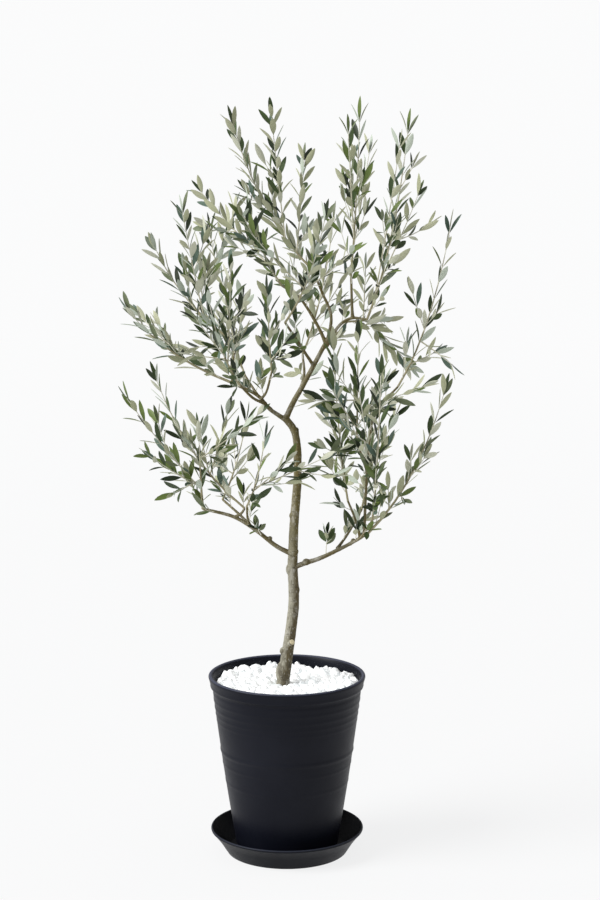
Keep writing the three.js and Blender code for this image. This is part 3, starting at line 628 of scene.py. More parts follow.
def pot_profile():
    """The pot's outline: up its outside, over the lip and down its inside."""
    lip_foot = POT_HEIGHT - LIP_HEIGHT
    outer = [(0, 0), (POT_FOOT_RADIUS - 3, 0), (POT_FOOT_RADIUS - 0.8, 0.8)]
    outer += [(pot_radius(h), h) for h in np.arange(3, lip_foot - 1, PROFILE_STEP)]
    outer += [(pot_radius(lip_foot), lip_foot)]
    lip = [
        (LIP_FOOT_RADIUS + 0.5, lip_foot + 0.4),
        (LIP_FOOT_RADIUS + 1.7, lip_foot + 1.6),
        (LIP_FOOT_RADIUS + 2.3, lip_foot + 3.4),
        (LIP_FOOT_RADIUS + 2.3, lip_foot + 5.6),
        (LIP_FOOT_RADIUS + 2.2, lip_foot + 8),
        (POT_RIM_RADIUS - 0.8, POT_HEIGHT - 7),
        (POT_RIM_RADIUS, POT_HEIGHT - 4),
        (POT_RIM_RADIUS - 0.3, POT_HEIGHT - 2.3),
        (POT_RIM_RADIUS - 1.2, POT_HEIGHT - 1),
        (POT_RIM_RADIUS - 2.6, POT_HEIGHT - 0.2),
        (POT_RIM_RADIUS - 4, POT_HEIGHT),
        (POT_RIM_RADIUS - 5.6, POT_HEIGHT - 0.4),
        (POT_RIM_RADIUS - 7, POT_HEIGHT - 1.4),
        (POT_RIM_RADIUS - RIM_WIDTH, POT_HEIGHT - 3),
        (POT_RIM_RADIUS - RIM_WIDTH - 1, POT_HEIGHT - 6),
    ]
    inner = [
        (pot_radius(lip_foot) - POT_WALL, lip_foot + 13),
        (pot_radius(lip_foot) - POT_WALL, lip_foot),
        (pot_radius(lip_foot / 2) - POT_WALL, lip_foot / 2),
        (pot_radius(POT_FLOOR) - POT_WALL, POT_FLOOR),
        (0, POT_FLOOR),
    ]
    return [(radius, height + POT_FOOT) for radius, height in outer + lip + inner]


def saucer_profile():
    """The saucer's outline, from under its foot over its rim to its floor."""
    rim, top, foot = SAUCER_RIM_RADIUS, SAUCER_HEIGHT, SAUCER_FOOT_RADIUS
    return [
        (0, 0),
        (foot - 1.5, 0),
        (foot, 0.6),
        (foot + 1, 2),
        ((foot + rim) / 2 - 1, top / 2),
        (rim - 2.2, top - 5.6),
        (rim - 0.7, top - 4.8),
        (rim, top - 3.2),
        (rim - 0.2, top - 1.4),
        (rim - 1.2, top - 0.3),
        (rim - 2.2, top),
        (rim - 3.1, top - 0.8),
        (rim - 3.4, top - 2),
        (foot + 1 - SAUCER_WALL, SAUCER_FLOOR + 1.6),
        (foot - 1 - SAUCER_WALL, SAUCER_FLOOR),
        (0, SAUCER_FLOOR),
    ]


def make_planter():
    pot = turned_piece("pot_shell", pot_profile())
    dressed(pot, charcoal_plastic("pot_plastic", POT_PAINTS, POT_RIM_HIGHLIGHT, grain=0.25, gloss=0.13))
    keep(pot, "plastic", "pot")
    saucer = turned_piece("saucer_dish", saucer_profile())
    dressed(saucer, charcoal_plastic("saucer_plastic", SAUCER_PAINTS, SAUCER_RIM_HIGHLIGHT, grain=0.5, gloss=0.08))
    keep(saucer, "plastic", "saucer")
    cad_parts["soil"].data.materials[0] = potting_soil()


def settled_places(count, reach, spacing, random, rounds=60, give=0.3):
    """Places scattered over the bed, pushed about a pebble apart and off the trunk's foot."""
    radius = reach * np.sqrt(random.random(count))
    turn = 2 * math.pi * random.random(count)
    places = np.stack([radius * np.cos(turn), radius * np.sin(turn)], 1)
    for _ in range(rounds):
        apart = places[:, None] - places[None]
        distance = np.linalg.norm(apart, axis=2) + np.eye(count) * 1e6
        push = np.clip(spacing - distance, 0, None) / distance
        places += give * (apart * push[..., None]).sum(1)
        away = places - np.array(TRUNK_FOOT)
        near = np.linalg.norm(away, axis=1, keepdims=True)
        places += away / near * np.clip(TRUNK_KEEP_OUT - near, 0, None)
        radius = np.linalg.norm(places, axis=1, keepdims=True)
        places *= np.minimum(1, reach / radius)
    return places


def chipped(ball, random):
    """A ball drawn out to a blunt point at both ends, with a few flat faces struck off it."""
    taper = 1 - PEBBLE_TAPER * ball[:, 0] ** 2
    chip = ball * np.stack([np.ones(len(ball)), taper, taper], 1)
    for _ in range(PEBBLE_CUTS):
        facing = random.normal(size=3)
        facing /= np.linalg.norm(facing)
        proud = chip @ facing - random.uniform(*PEBBLE_CUT_DISTANCE)
        chip = chip - np.clip(proud, 0, None)[:, None] * facing
    return chip


def pebble(ball, layer, place, random):
    """The corners of one chip, turned any way at its place in its layer, in millimetres."""
    size = layer["size"] * (PEBBLE_LEAST_SIZE + PEBBLE_SIZE_PLAY * random.random())
    height = PEBBLE_LEAST_HEIGHT + PEBBLE_HEIGHT_PLAY * random.random()
    turn = Euler(random.uniform(*PEBBLE_TURNS)).to_matrix()
    shape = size * np.array([PEBBLE_LENGTH, PEBBLE_BREADTH, height])
    turned = (chipped(ball, random) * shape) @ np.array(turn).T
    outward = (math.hypot(*place) / layer["reach"]) ** 2
    level = layer["level"] + layer["edge_rise"] * outward + layer["lift"] * random.uniform(-1, 1)
    over = np.linalg.norm(turned[:, :2] + place, axis=1).max() - PEBBLE_BED_RADIUS
    place = place * (1 - max(0, over) / max(1, math.hypot(*place)))
    return turned + np.array([*place, level])


def make_pebbles():
    """White quartz chips, some hundreds, in two layers that are piled up towards the pot's wall."""
    bpy.ops.mesh.primitive_ico_sphere_add(subdivisions=2, radius=1)
    model = bpy.context.object
    ball = np.array([corner.co for corner in model.data.vertices])
    ball_faces = np.array([list(face.vertices) for face in model.data.polygons])
    bpy.data.objects.remove(model)
    random = np.random.default_rng(PEBBLE_SEED)
    corners, faces, tones = [], [], []
    for layer in PEBBLE_LAYERS:
        spacing = PEBBLE_SPACING * layer["reach"] * math.sqrt(3.0 / layer["count"])
        for place in settled_places(layer["count"], layer["reach"], spacing, random):
            corners.append(pebble(ball, layer, place, random))
            faces.append(ball_faces + len(ball) * len(faces))
            tones += [int(random.integers(len(PEBBLE_PAINTS)))] * len(ball_faces)
    faces = np.concatenate(faces).tolist()
    piece = joined_piece("pebble_dressing", np.concatenate(corners), faces, tones)
    bpy.ops.object.shade_smooth_by_angle(angle=math.radians(38))
    # The pebbles' glow is painted light on their shaded sides
    dressed(piece, *plain_set("pebble", PEBBLE_PAINTS, roughness=0.6, gloss=0.3, glow=PEBBLE_PAINTED_GLOW))
    keep(piece, "pebbles", "pebbles")


# The limbs


def smooth_course(points, spans=10):
    """A smooth line through the points of a limb, which doesn't swing out between them."""
    points = [np.array(p, float) for p in points]
    ends = [2 * points[0] - points[1], *points, 2 * points[-1] - points[-2]]
    line = []
    for a, b, c, d in zip(ends, ends[1:], ends[2:], ends[3:]):
        times = np.cumsum([0, *(math.sqrt(np.linalg.norm(q - p)) for p, q in ((a, b), (b, c), (c, d)))])
        for t in np.linspace(times[1], times[2], spans, endpoint=False):
            line.append(point_between((a, b, c, d), times, t))
    line.append(points[-1])
    return np.array(line)


def point_between(four, times, t):
    """The point at a time on the curve through four points at their own times."""
    def slide(p, q, start, end):
        return (p * (end - t) + q * (t - start)) / (end - start)

    a, b, c, d = four
    ab, bc, cd = slide(a, b, *times[0:2]), slide(b, c, *times[1:3]), slide(c, d, *times[2:4])
    abc, bcd = slide(ab, bc, times[0], times[2]), slide(bc, cd, times[1], times[3])
    return slide(abc, bcd, times[1], times[2])


def distances_along(line):
    """How far along a line each of its points lies."""
    return np.concatenate([[0], np.cumsum(np.linalg.norm(np.diff(line, axis=0), axis=1))])


def limb_line(radii, points, swelling=(0, 1)):
    """A limb's points and its radius at each: an even taper, with any swelling at its root."""
    line = smooth_course(points) if len(points) > 2 else np.linspace(points[0], points[1], 12)
    travelled = distances_along(line)
    gain, fade = swelling
    return line, mixed(*radii, travelled / travelled[-1]) + gain * np.exp(-travelled / fade)


def limb_tube(line, radius):
    """A round tube along a limb, from a drawn curve."""
    curve = bpy.data.curves.new("limb", "CURVE")
    curve.dimensions = "3D"
    curve.bevel_depth = MM
    curve.bevel_resolution = 6
    curve.use_fill_caps = True
    spline = curve.splines.new("POLY")
    spline.points.add(len(line) - 1)
    spline.points.foreach_set("co", np.column_stack([line * MM, np.ones(len(line))]).ravel())
    spline.points.foreach_set("radius", radius)
    tube = bpy.data.objects.new("limb", curve)
    bpy.context.scene.collection.objects.link(tube)
    return tube


def bark_piece(name, lines, knots, relief):
    """Limbs and their knots melted into one skin, softened and given the bark's relief."""
    parts = [limb_tube(line, radius) for line, radius in lines]
    select_only(parts)
    bpy.ops.object.convert(target="MESH")
    for place, radius, stretch in knots:
        bpy.ops.object.select_all(action="DESELECT")
        bpy.ops.mesh.primitive_ico_sphere_add(
            subdivisions=3, radius=radius * MM, location=Vector(place) * MM, scale=(1, 1, stretch))
        parts.append(bpy.context.object)
    piece = joined(name, parts)
    bpy.ops.object.transform_apply(location=True, rotation=True, scale=True)
    apply_modifier(piece, "REMESH", mode="VOXEL", voxel_size=BARK_GRAIN)
    apply_modifier(piece, "SMOOTH", factor=0.5, iterations=5)
    for size, stretch, depth in relief:
        add_relief(piece, size, stretch, depth)
    bpy.ops.object.shade_smooth()
    mark_painted_shade_side(piece)
    return piece


def mark_painted_shade_side(piece):
    """How far each point of the bark is turned away from the light, from -1 to 1, which sets its painted
    shade.
    """
    normals = np.zeros(3 * len(piece.data.vertices), np.float32)
    piece.data.vertex_normals.foreach_get("vector", normals)
    shaded_side = normals.reshape(-1, 3) @ unit(np.array(SHADED_SIDE_FACING))
    mark = piece.data.attributes.new("painted_shade_side", "FLOAT", "POINT")
    mark.data.foreach_set("value", shaded_side.astype(np.float32))


def add_relief(piece, size, stretch, depth):
    """Lifts and sinks the surface by soft clouds that are drawn out along the trunk."""
    clouds = bpy.data.textures.new("bark_clouds", "CLOUDS")
    clouds.noise_scale = size
    clouds.noise_depth = 3
    guide = bpy.data.objects.new("bark_guide", None)
    guide.scale = (1, 1, stretch)
    bpy.context.scene.collection.objects.link(guide)
    bpy.context.view_layer.update()
    apply_modifier(piece, "DISPLACE", texture=clouds, texture_coords="OBJECT",
                   texture_coords_object=guide, strength=depth, mid_level=0.5)
    bpy.data.objects.remove(guide)


def make_limbs(lines):
    """The trunk with its two stumps, and the boughs, each a skin of their own."""
    bark = young_bark()
    on_trunk = [lines["trunk"], limb_line(*CUT_STUB), limb_line(*PRUNED_TWIG)]
    trunk = bark_piece("trunk_bark", on_trunk, TRUNK_KNOTS, TRUNK_RELIEF)
    dressed(trunk, bark)
    keep(trunk, "bark", "trunk")
    boughs = {name: line for name, line in lines.items() if name != "trunk"}
    bough_piece = bark_piece("bough_bark", boughs.values(), BOUGH_KNOTS, BOUGH_RELIEF)
    dressed(bough_piece, bark)
    keep(bough_piece, "bark", *boughs)
    make_cut_faces()


def make_cut_faces():
    """The bare wood of the old pruning cuts: thin rounded discs on the stumps' ends."""
    discs = []
    for place, facing, radius, gone_dark in CUT_FACES:
        turn = Vector(facing).to_track_quat("Z", "Y").to_euler()
        bpy.ops.mesh.primitive_cylinder_add(
            vertices=28, radius=radius * MM, depth=CUT_FACE_DEPTH * MM, location=Vector(place) * MM,
            rotation=turn)
        disc = bpy.context.object
        bpy.ops.object.transform_apply(location=True, rotation=True, scale=True)
        apply_modifier(disc, "BEVEL", width=0.0006, segments=2, limit_method="ANGLE")
        name, colour = ("old_cut", OLD_CUT_PAINT) if gone_dark else ("fresh_cut", FRESH_CUT_PAINT)
        dressed(disc, plain(name, colour, roughness=0.85, gloss=0.2))
        discs.append(disc)
    piece = joined("pruning_cuts", discs)
    bpy.ops.object.shade_smooth_by_angle(angle=math.radians(40))
    keep(piece, "bark", "trunk")


# The foliage's rule: the same seeds and shoots as in the solids, carried on to finer twigs


def seeded_random(seed):
    """A repeatable run of numbers between 0 and 1 for each seed."""
    state = seed * SEED_FACTOR % DRAW_RANGE

    def draw():
        nonlocal state
        state = (state * DRAW_FACTOR + DRAW_STEP) % DRAW_RANGE
        return state / DRAW_RANGE

    return draw


def varied(random, play):
    """A factor about 1, up to the given play more or less."""
    return 1 + play * (2 * random() - 1)


def unit(vector):
    return vector / np.linalg.norm(vector)


def mixed(first, last, share):
    return first + (last - first) * share


class Shoot:
    """A shoot on a plain bend from its start to its end, with its radius at both, the share of it
    that is bare, its length and the length of the leaf at its tip."""

    def __init__(self, start, bend, end, radii, bare):
        self.start, self.bend, self.end = np.array(start), np.array(bend), np.array(end)
        self.radii, self.bare = radii, bare
        steps = np.array([self.point(at) for at in np.linspace(0, 1, 41)])
        self.length = float(np.linalg.norm(np.diff(steps, axis=0), axis=1).sum())
        self.last_leaf = min(LAST_LEAF, self.length * 0.5)

    def point(self, at):
        return (1 - at) ** 2 * self.start + 2 * at * (1 - at) * self.bend + at**2 * self.end

    def tangent(self, at):
        return unit((1 - at) * (self.bend - self.start) + at * (self.end - self.bend))


def bent_shoot(start, end, bend_shares, radii, bare):
    """A shoot that leaves outwards and bends up towards its end."""
    outward, upward = bend_shares
    bend = start + (end - start) * np.array([outward, outward, upward])
    return Shoot(start, bend, end, radii, bare)


def rising_shoot(start, heading, reach, rise, radii, bare):
    """A shoot that sets off along its heading and bends up halfway."""
    bend = start + heading * reach / 2
    end = bend + unit(heading + UP * rise) * reach / 2
    return Shoot(start, bend, end, radii, bare)


def sideways(tangent, turn):
    """A direction square to a shoot, at a turn round it that starts from the level."""
    level = unit(np.cross(UP, tangent))
    return level * math.cos(turn) + np.cross(tangent, level) * math.sin(turn)


def turned_towards(tangent, side, angle):
    """A direction turned from a shoot's own towards a side of it."""
    return tangent * math.cos(angle) + side * math.sin(angle)


def leading_shoots(base, seed, main_end, first, last, fan, root_radius):
    """The main shoot grows on from the limb's tip, and a fan of shoots forks off it."""
    random = seeded_random(seed)
    radii = (root_radius, STEM_TIP_RADIUS)
    main = bent_shoot(base, np.array(main_end, float), STEM_BEND, radii, LEADING_BARE)
    shoots = [main]
    first, last = np.array(first) - base, np.array(last) - base
    for i in range(fan):
        share = i / (fan - 1)
        heading = unit(mixed(unit(first), unit(last), share))
        distance = mixed(np.linalg.norm(first), np.linalg.norm(last), share)
        fork = main.point(mixed(*FORK_RANGE, random()))
        end = base + heading * distance
        shoots.append(bent_shoot(fork, end, FORK_BEND, FORK_RADII, LEADING_BARE))
    return shoots


def side_shoots(parent, random, first, spacing, spread, rise, reaches, play, radii, bare):
    """Side shoots leave by turns round their parent, shorter towards its end, and bend up."""
    turn_start = random() * math.pi * 2
    shoots = []
    for i in range(math.floor(parent.length * (1 - first) / spacing)):
        at = first + i * spacing / parent.length
        tangent = parent.tangent(at)
        heading = turned_towards(tangent, sideways(tangent, turn_start + i * GOLDEN_ANGLE), spread)
        reach = mixed(*reaches, at) * varied(random, play)
        shoots.append(rising_shoot(parent.point(at), heading, reach, rise, radii, bare))
    return shoots


def bough_spurs(name, line, seed):
    """Short leafy shoots on a bough, by turns round it."""
    random = seeded_random(seed)
    travelled = distances_along(line)
    place = SPUR_FROM.get(name, SPUR_FROM_ELSEWHERE) * travelled[-1]
    turn = random() * math.pi * 2
    shoots = []
    while place < travelled[-1] * SPURS_UP_TO:
        index = int(np.searchsorted(travelled, place))
        tangent = unit(line[min(index + 1, len(line) - 1)] - line[index - 1])
        heading = turned_towards(tangent, sideways(tangent, turn), SPUR_SPREAD)
        reach = mixed(*SPUR_REACH, random())
        shoots.append(rising_shoot(line[index], heading, reach, SPUR_RISE, SPUR_RADII, SPUR_BARE))
        place += SPUR_SPACING * varied(random, SPUR_SPACING_PLAY)
        turn += GOLDEN_ANGLE
    return shoots


def inside(point, low, high):
    """Whether a point lies in the box between its lowest and its highest corner."""
    return bool(np.all(point >= low) and np.all(point <= high))


def mass_shoots(limb_tip, tip_radius, seed, main_end, first, last, fan):
    """All the shoots of one mass, and the space that it keeps to."""
    leading = leading_shoots(limb_tip, seed, main_end, first, last, fan, tip_radius)
    ends = np.array([limb_tip, *(shoot.end for shoot in leading)])
    low = np.maximum(ends.min(0) - SPACE_MARGIN, CROWN_LOW)
    high = np.minimum(ends.max(0) + SPACE_MARGIN, CROWN_HIGH)
    shoots = list(leading)
    for index, parent in enumerate(leading):
        first_seed = seed * SHOOT_SEEDS + index
        sides = side_shoots(parent, seeded_random(first_seed), **SIDE_SHOOTS)
        fine = side_shoots(parent, seeded_random(first_seed + FINE_SEEDS), **FINE_SHOOTS)
        shoots += [shoot for shoot in sides + fine if inside(shoot.end, low, high)]
    return shoots, low, high


def leaf(root, along, facing, length, width, curl, upper, lower):
    """A leaf: where it is rooted, the ways its blade runs and faces, its sizes and its two tones."""
    return {"root": root, "along": along, "facing": facing, "length": length, "width": width,
            "curl": curl, "upper": upper, "lower": lower}


def leaf_facing(facing, along, roll):
    """The way a blade's upper side faces: rolled a little, and turned up to the light."""
    facing = facing * math.cos(roll) + np.cross(along, facing) * math.sin(roll) + UP * LEAF_TURN_UP
    return unit(facing - along * facing.dot(along))


def leaves_on(shoot, random, pair_spacing):
    """Opposite pairs of leaves along a shoot, and a last leaf that ends where the shoot does."""
    leafy_end = 1 - shoot.last_leaf / shoot.length
    count = max(1, round((leafy_end - shoot.bare) * shoot.length / pair_spacing))
    upper, lower = random(), random()
    turn = random() * math.pi * 2
    leaves = []
    for i in range(count + 1):
        share = ((i + FIRST_PAIR) / (count + FIRST_PAIR)) ** PAIR_CROWDING
        at = mixed(shoot.bare, leafy_end, share)
        tangent = shoot.tangent(at)
        turn += math.pi / 2 + PAIR_TURN_PLAY * (2 * random() - 1)
        for half in (0, math.pi):
            spread = mixed(*LEAF_SPREAD, at) * varied(random, LEAF_SPREAD_PLAY)
            side = sideways(tangent, turn + half + PAIR_SKEW * random())
            along = turned_towards(tangent, side, spread)
            facing = turned_towards(tangent, side, spread - math.pi / 2)
            facing = leaf_facing(facing, along, LEAF_ROLL * (2 * random() - 1))
            length = mixed(*LEAF_LENGTH, at) * varied(random, LEAF_LENGTH_PLAY)
            slimness = LEAF_SLIMNESS * varied(random, LEAF_SLIMNESS_PLAY)
            if i == 0:
                length, slimness = length * FIRST_LEAF_LENGTH, slimness * FIRST_LEAF_SLIMNESS
            root = shoot.point(at) + side * mixed(*shoot.radii, at) * LEAF_ROOT
            curl = mixed(LEAST_CURL, MOST_CURL, random())
            leaves.append(leaf(root, along, facing, length, length * slimness, curl,
                               tone(upper, random), tone(lower, random)))
    root = shoot.point(leafy_end)
    along = unit(shoot.end - root)
    facing = leaf_facing(sideways(along, turn), along, 0)
    length = float(np.linalg.norm(shoot.end - root))
    width = length * LEAF_SLIMNESS * LAST_LEAF_SLIMNESS
    leaves.append(leaf(root, along, facing, length, width, 0, tone(upper, random), tone(lower, random)))
    return leaves


def tone(spray, random):
    """Most leaves have a tone of their own, and the others take their spray's."""
    return random() if random() < OWN_TONE else spray


def in_solid_box(point, margin=-0.01):
    """Whether a point lies a margin inside the box round the solids, in millimetres."""
    low, high = (np.array(corner) / MM for corner in solid_box)
    return inside(point, low + margin, high - margin)


def within_solids(item):
    """Whether a leaf's ends and both sides of its blade keep inside the box round the solids."""
    reach = item["along"] * item["length"]
    middle = item["root"] + reach * LEAF_MIDDLE
    half = np.cross(item["along"], item["facing"]) * item["width"] / 2
    tip = item["root"] + reach - item["facing"] * item["curl"] * item["length"]
    return all(in_solid_box(point) for point in (item["root"], middle - half, middle + half, tip))


def clear_of_limbs(leaves, limb_points, limb_radii):
    """Leaves out every leaf whose blade would touch a limb."""
    kept = []
    for item in leaves:
        reach = item["along"] * item["length"]
        blade = np.array([item["root"] + reach * share for share in LIMB_CLEARANCE_AT])
        distance = np.linalg.norm(blade[:, None] - limb_points[None], axis=2) - limb_radii
        if distance.min() > LIMB_CLEARANCE + item["width"] * LIMB_CLEARANCE_WIDTH:
            kept.append(item)
    return kept


def leaf_mesh(name, leaves):
    """Every leaf as a thin closed blade: widest past its middle, folded and arched a little."""
    count = len(LEAF_STATIONS)
    keys = ("root", "along", "facing", "length", "width", "curl")
    root, along, facing, length, width, curl = (np.array([item[key] for item in leaves]) for key in keys)
    across = np.cross(along, facing)
    corners = np.zeros((len(leaves), 4 * count + 2, 3))

    def at(share, side, lift=0):
        """A corner of every blade at a share of its length, to a side and above its middle."""
        forward = along * (share * length)[:, None]
        rise = lift - curl * length * share**2
        return root + forward + across * (side * width / 2)[:, None] + facing * rise[:, None]

    for i, (share, breadth) in enumerate(LEAF_STATIONS):
        fold = LEAF_FOLD * width * breadth
        corners[:, 4 * i] = at(share, -breadth, fold)
        corners[:, 4 * i + 1] = at(share, 0)
        corners[:, 4 * i + 2] = at(share, breadth, fold)
        corners[:, 4 * i + 3] = at(share, 0, -LEAF_THICKNESS)
    heel, point = 4 * count, 4 * count + 1
    corners[:, heel] = at(0, 0)
    corners[:, point] = at(1, 0)
    top, under = [], []
    for i in range(count - 1):
        a, b = 4 * i, 4 * i + 4
        top += [(a, b, b + 1, a + 1), (a + 1, b + 1, b + 2, a + 2)]
        under += [(a + 3, b + 3, b, a), (a + 2, b + 2, b + 3, a + 3)]
    end = 4 * (count - 1)
    top += [(heel, 0, 1), (heel, 1, 2), (end, point, end + 1), (end + 1, point, end + 2)]
    under += [(heel, 3, 0), (heel, 2, 3), (end + 3, point, end), (end + 2, point, end + 3)]
    faces, tones = [], []
    for i, item in enumerate(leaves):
        start = i * (4 * count + 2)
        faces += [tuple(start + corner for corner in face) for face in top + under]
        upper = int(item["upper"] * len(LEAF_UPPER_PAINTS))
        lower = len(LEAF_UPPER_PAINTS) + int(item["lower"] * len(LEAF_LOWER_PAINTS))
        tones += [upper] * len(top) + [lower] * len(under)
    piece = joined_piece(name, corners.reshape(-1, 3), faces, tones)
    bpy.ops.object.shade_smooth_by_angle(angle=math.radians(50))
    return piece


def twig_tone(shoot, at):
    """Young thin wood is pale, and it browns as it thickens."""
    radius = mixed(*shoot.radii, at)
    return sum(radius > limit for limit in TWIG_BROWNS_AT)


def twig_mesh(name, shoots, sides=6, steps=7):
    """Every shoot as a slim tapering tube, closed at both ends."""
    turns = np.arange(sides)[:, None] * 2 * math.pi / sides
    corners, faces, tones = [], [], []
    for shoot in shoots:
        square = np.cross(shoot.bend - shoot.start, shoot.end - shoot.bend)
        straight = np.linalg.norm(square) <= 1e-3
        square = unit(np.cross(UP, shoot.tangent(0)) if straight else square)
        start = len(corners) * sides
        tip_share = 1 - shoot.last_leaf * LAST_LEAF_FREE / shoot.length
        for step in range(steps + 1):
            at = tip_share * step / steps
            other = np.cross(shoot.tangent(at), square)
            ring = square * np.cos(turns) + other * np.sin(turns)
            corners.append(shoot.point(at) + ring * mixed(*shoot.radii, step / steps))
        for step in range(steps):
            a = start + step * sides
            faces += [(a + i, a + (i + 1) % sides, a + sides + (i + 1) % sides, a + sides + i)
                      for i in range(sides)]
        faces.append(tuple(reversed(range(start, start + sides))))
        faces.append(tuple(range(start + steps * sides, start + (steps + 1) * sides)))
        tones += [twig_tone(shoot, step / steps) for step in range(steps) for _ in range(sides)]
        tones += [twig_tone(shoot, 0), twig_tone(shoot, 1)]
    piece = joined_piece(name, np.concatenate(corners), faces, tones)
    bpy.ops.object.shade_smooth_by_angle(angle=math.radians(60))
    return piece


def tuft_foliage(seed, root, tip):
    """A rosette of short round leaves on a short stem."""
    random = seeded_random(seed)
    root, tip = np.array(root, float), np.array(tip, float)
    stem = Shoot(root, (root + tip) / 2, tip, TUFT_STEM_RADII, 0)
    tangent = stem.tangent(1)
    leaves = []
    for i in range(TUFT_LEAVES):
        spread = mixed(*TUFT_SPREAD, i / TUFT_LEAVES)
        side = sideways(tangent, i * GOLDEN_ANGLE + random())
        along = turned_towards(tangent, side, spread)
        facing = turned_towards(tangent, side, spread - math.pi / 2)
        facing = leaf_facing(facing, along, TUFT_LEAF_ROLL * (random() - 0.5))
        length = TUFT_LEAF_LENGTH * varied(random, TUFT_LEAF_LENGTH_PLAY)
        leaves.append(leaf(stem.point(TUFT_TOP - TUFT_STEP * i), along, facing, length,
                           length * TUFT_LEAF_SLIMNESS, TUFT_LEAF_CURL, random(), random()))
    return stem, leaves


def mass_foliage(limb, seed, main_end, first, last, fan, fullness):
    """The shoots and leaves of one mass, on the tip of its limb."""
    line, radius = limb
    grown, low, high = mass_shoots(line[-1], radius[-1], seed, main_end, first, last, fan)
    spacing = PAIR_SPACING / fullness
    leaves = [item for index, shoot in enumerate(grown)
              for item in leaves_on(shoot, seeded_random(seed * LEAF_SEEDS + index), spacing)]
    leaves = [item for item in leaves if within_solids(item)
              and inside(item["root"] + item["along"] * (item["length"] - TIP_OVERLAP), low, high)]
    shoots = [shoot for shoot in grown if in_solid_box(shoot.point(TWIG_REACH), TWIG_MARGIN)]
    return shoots, leaves


def bough_foliage(index, name, line):
    """The leafy spurs of one bough and their leaves."""
    spurs = [spur for spur in bough_spurs(name, line, SPUR_SEEDS + index)
             if in_solid_box(spur.end, SPUR_MARGIN)]
    first_seed = SPUR_LEAF_SEEDS + SPUR_LEAF_SEEDS_EACH * index
    leaves = [item for number, spur in enumerate(spurs)
              for item in leaves_on(spur, seeded_random(first_seed + number), PAIR_SPACING)]
    return spurs, leaves


def make_foliage(lines):
    """The masses on their limbs, the boughs' spurs and two tufts, as two pieces of leaves and one
    of twigs."""
    limb_points = np.concatenate([line for line, _ in lines.values()])
    limb_radii = np.concatenate([radius for _, radius in lines.values()])
    shoots, low_leaves, high_leaves = [], [], []
    low_masses = [name for name, (limb, *_) in MASSES.items() if lines[limb][0][-1][2] < LOW_LIMB_TIPS]
    high_masses = [name for name in MASSES if name not in low_masses]
    for name, (limb, *growth) in MASSES.items():
        grown, leaves = mass_foliage(lines[limb], *growth)
        shoots += grown
        kept = clear_of_limbs(leaves, limb_points, limb_radii)
        (low_leaves if name in low_masses else high_leaves).extend(kept)
    for index, (name, (line, _)) in enumerate(lines.items()):
        spurs, leaves = bough_foliage(index, name, line)
        shoots += spurs
        low_leaves += clear_of_limbs(leaves, limb_points, limb_radii)
    for seed, root, tip in TUFTS.values():
        stem, leaves = tuft_foliage(seed, root, tip)
        shoots.append(stem)
        low_leaves += leaves
    blades = plain_set("leaf_upper", LEAF_UPPER_PAINTS, roughness=0.5, gloss=0.45)
    blades += plain_set("leaf_under", LEAF_LOWER_PAINTS, roughness=0.75, gloss=0.3)
    for name, leaves, masses in (("olive_leaves_low", low_leaves, [*low_masses, *TUFTS]),
                                 ("olive_leaves_high", high_leaves, high_masses)):
        piece = leaf_mesh(name, leaves)
        dressed(piece, *blades)
        keep(piece, "foliage", *foliage_nodes(masses))
    twigs = twig_mesh("olive_twigs", shoots)
    dressed(twigs, *plain_set("twig", TWIG_PAINTS, roughness=0.75, gloss=0.25))
    keep(twigs, "bark", *foliage_nodes([*MASSES, *TUFTS]))


def foliage_nodes(masses):
    """The nodes that masses and tufts stand for."""
    return [f"foliage_{name}" for name in masses]


# The studio


def make_surround(tree):
    """The surround looks white, and lights the plant more softly than it looks."""
    seen = tree.nodes["Background"]
    seen.inputs["Color"].default_value = SURROUND
    fill = tree.nodes.new("ShaderNodeBackground")
    fill.inputs["Color"].default_value = SURROUND
    fill.inputs["Strength"].default_value = FILL_LIGHT
    path = tree.nodes.new("ShaderNodeLightPath")
    mix = tree.nodes.new("ShaderNodeMixShader")
    tree.links.new(path.outputs["Is Camera Ray"], mix.inputs[0])
    tree.links.new(fill.outputs[0], mix.inputs[1])
    tree.links.new(seen.outputs[0], mix.inputs[2])
    tree.links.new(mix.outputs[0], tree.nodes["World Output"].inputs["Surface"])


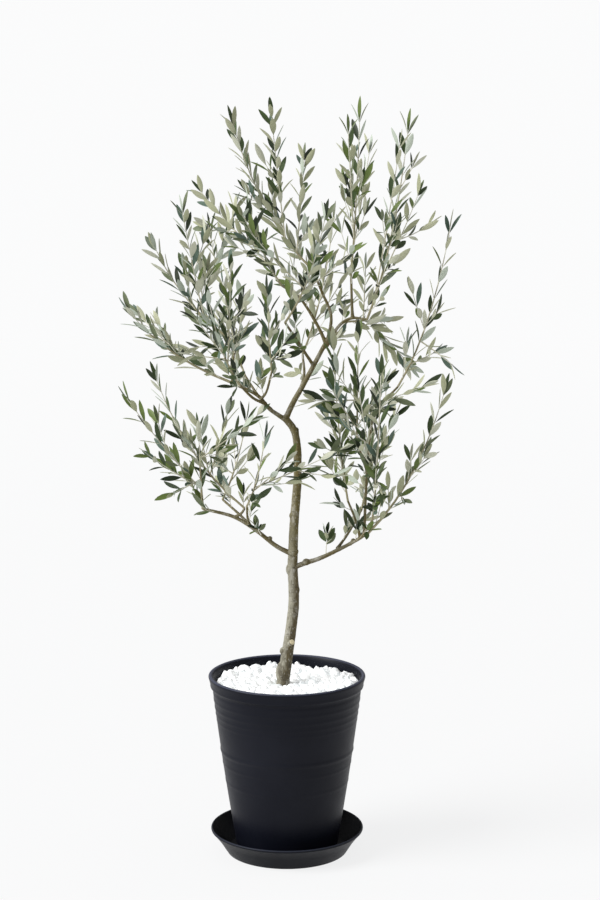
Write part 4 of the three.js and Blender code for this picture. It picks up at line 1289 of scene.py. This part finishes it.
def make_studio():
    """A plain pale floor that runs out into a white surround, with soft light from the left."""
    bpy.ops.mesh.primitive_circle_add(
        vertices=64, radius=FLOOR_RADIUS, fill_type="NGON", location=(0, 0, -FLOOR_DEPTH))
    floor = bpy.context.object
    floor.name = "studio_floor"
    finish = Finish("pale_floor", FLOOR_COLOUR, 0.9, Specular_IOR_Level=0.1)
    outward = finish.node("ShaderNodeVectorMath", {"operation": "LENGTH"}, {0: finish.place()})
    fade = finish.between(finish.field(outward, "Value"), *FLOOR_FADE)
    far = FLOOR_GLOW + (1 - FLOOR_GLOW) * fade
    glow = finish.node("ShaderNodeEmission", {}, {"Color": SURROUND, "Strength": 1.0})
    output = next(n for n in finish.tree.nodes if n.type == "OUTPUT_MATERIAL")
    shader = Field(finish, finish.shader.outputs[0])
    mix = finish.node("ShaderNodeMixShader", {}, {0: far, 1: shader, 2: finish.field(glow, 0)})
    finish.tree.links.new(mix.outputs[0], output.inputs["Surface"])
    dressed(floor, finish.material)
    world = bpy.data.worlds.new("studio_surround")
    world.use_nodes = True
    bpy.context.scene.world = world
    make_surround(world.node_tree)
    sun = bpy.data.lights.new("soft_key", "SUN")
    sun.energy = KEY_LIGHT
    sun.angle = math.radians(KEY_LIGHT_BREADTH)
    key = bpy.data.objects.new("soft_key", sun)
    key.rotation_euler = Vector(KEY_LIGHT_FROM).to_track_quat("Z", "Y").to_euler()
    bpy.context.scene.collection.objects.link(key)
    bpy.context.scene.view_settings.view_transform = "Standard"


def make_camera():
    """The photo's view: four metres in front, level with the crown's top and looking down a little."""
    lens = bpy.data.cameras.new("front_view")
    lens.lens = LENS_LENGTH
    lens.sensor_width = FILM_WIDTH
    camera = bpy.data.objects.new("front_view", lens)
    camera.location = CAMERA_PLACE
    camera.rotation_euler = (math.radians(90 - CAMERA_DOWN), 0, 0)
    bpy.context.scene.collection.objects.link(camera)
    bpy.context.scene.camera = camera


make_studio()
make_camera()
make_planter()
make_pebbles()
limb_lines = {name: limb_line(radii, points, TRUNK_FLARE if name == "trunk" else ROOT_COLLAR)
              for name, (radii, points) in LIMBS.items()}
make_limbs(limb_lines)
make_foliage(limb_lines)
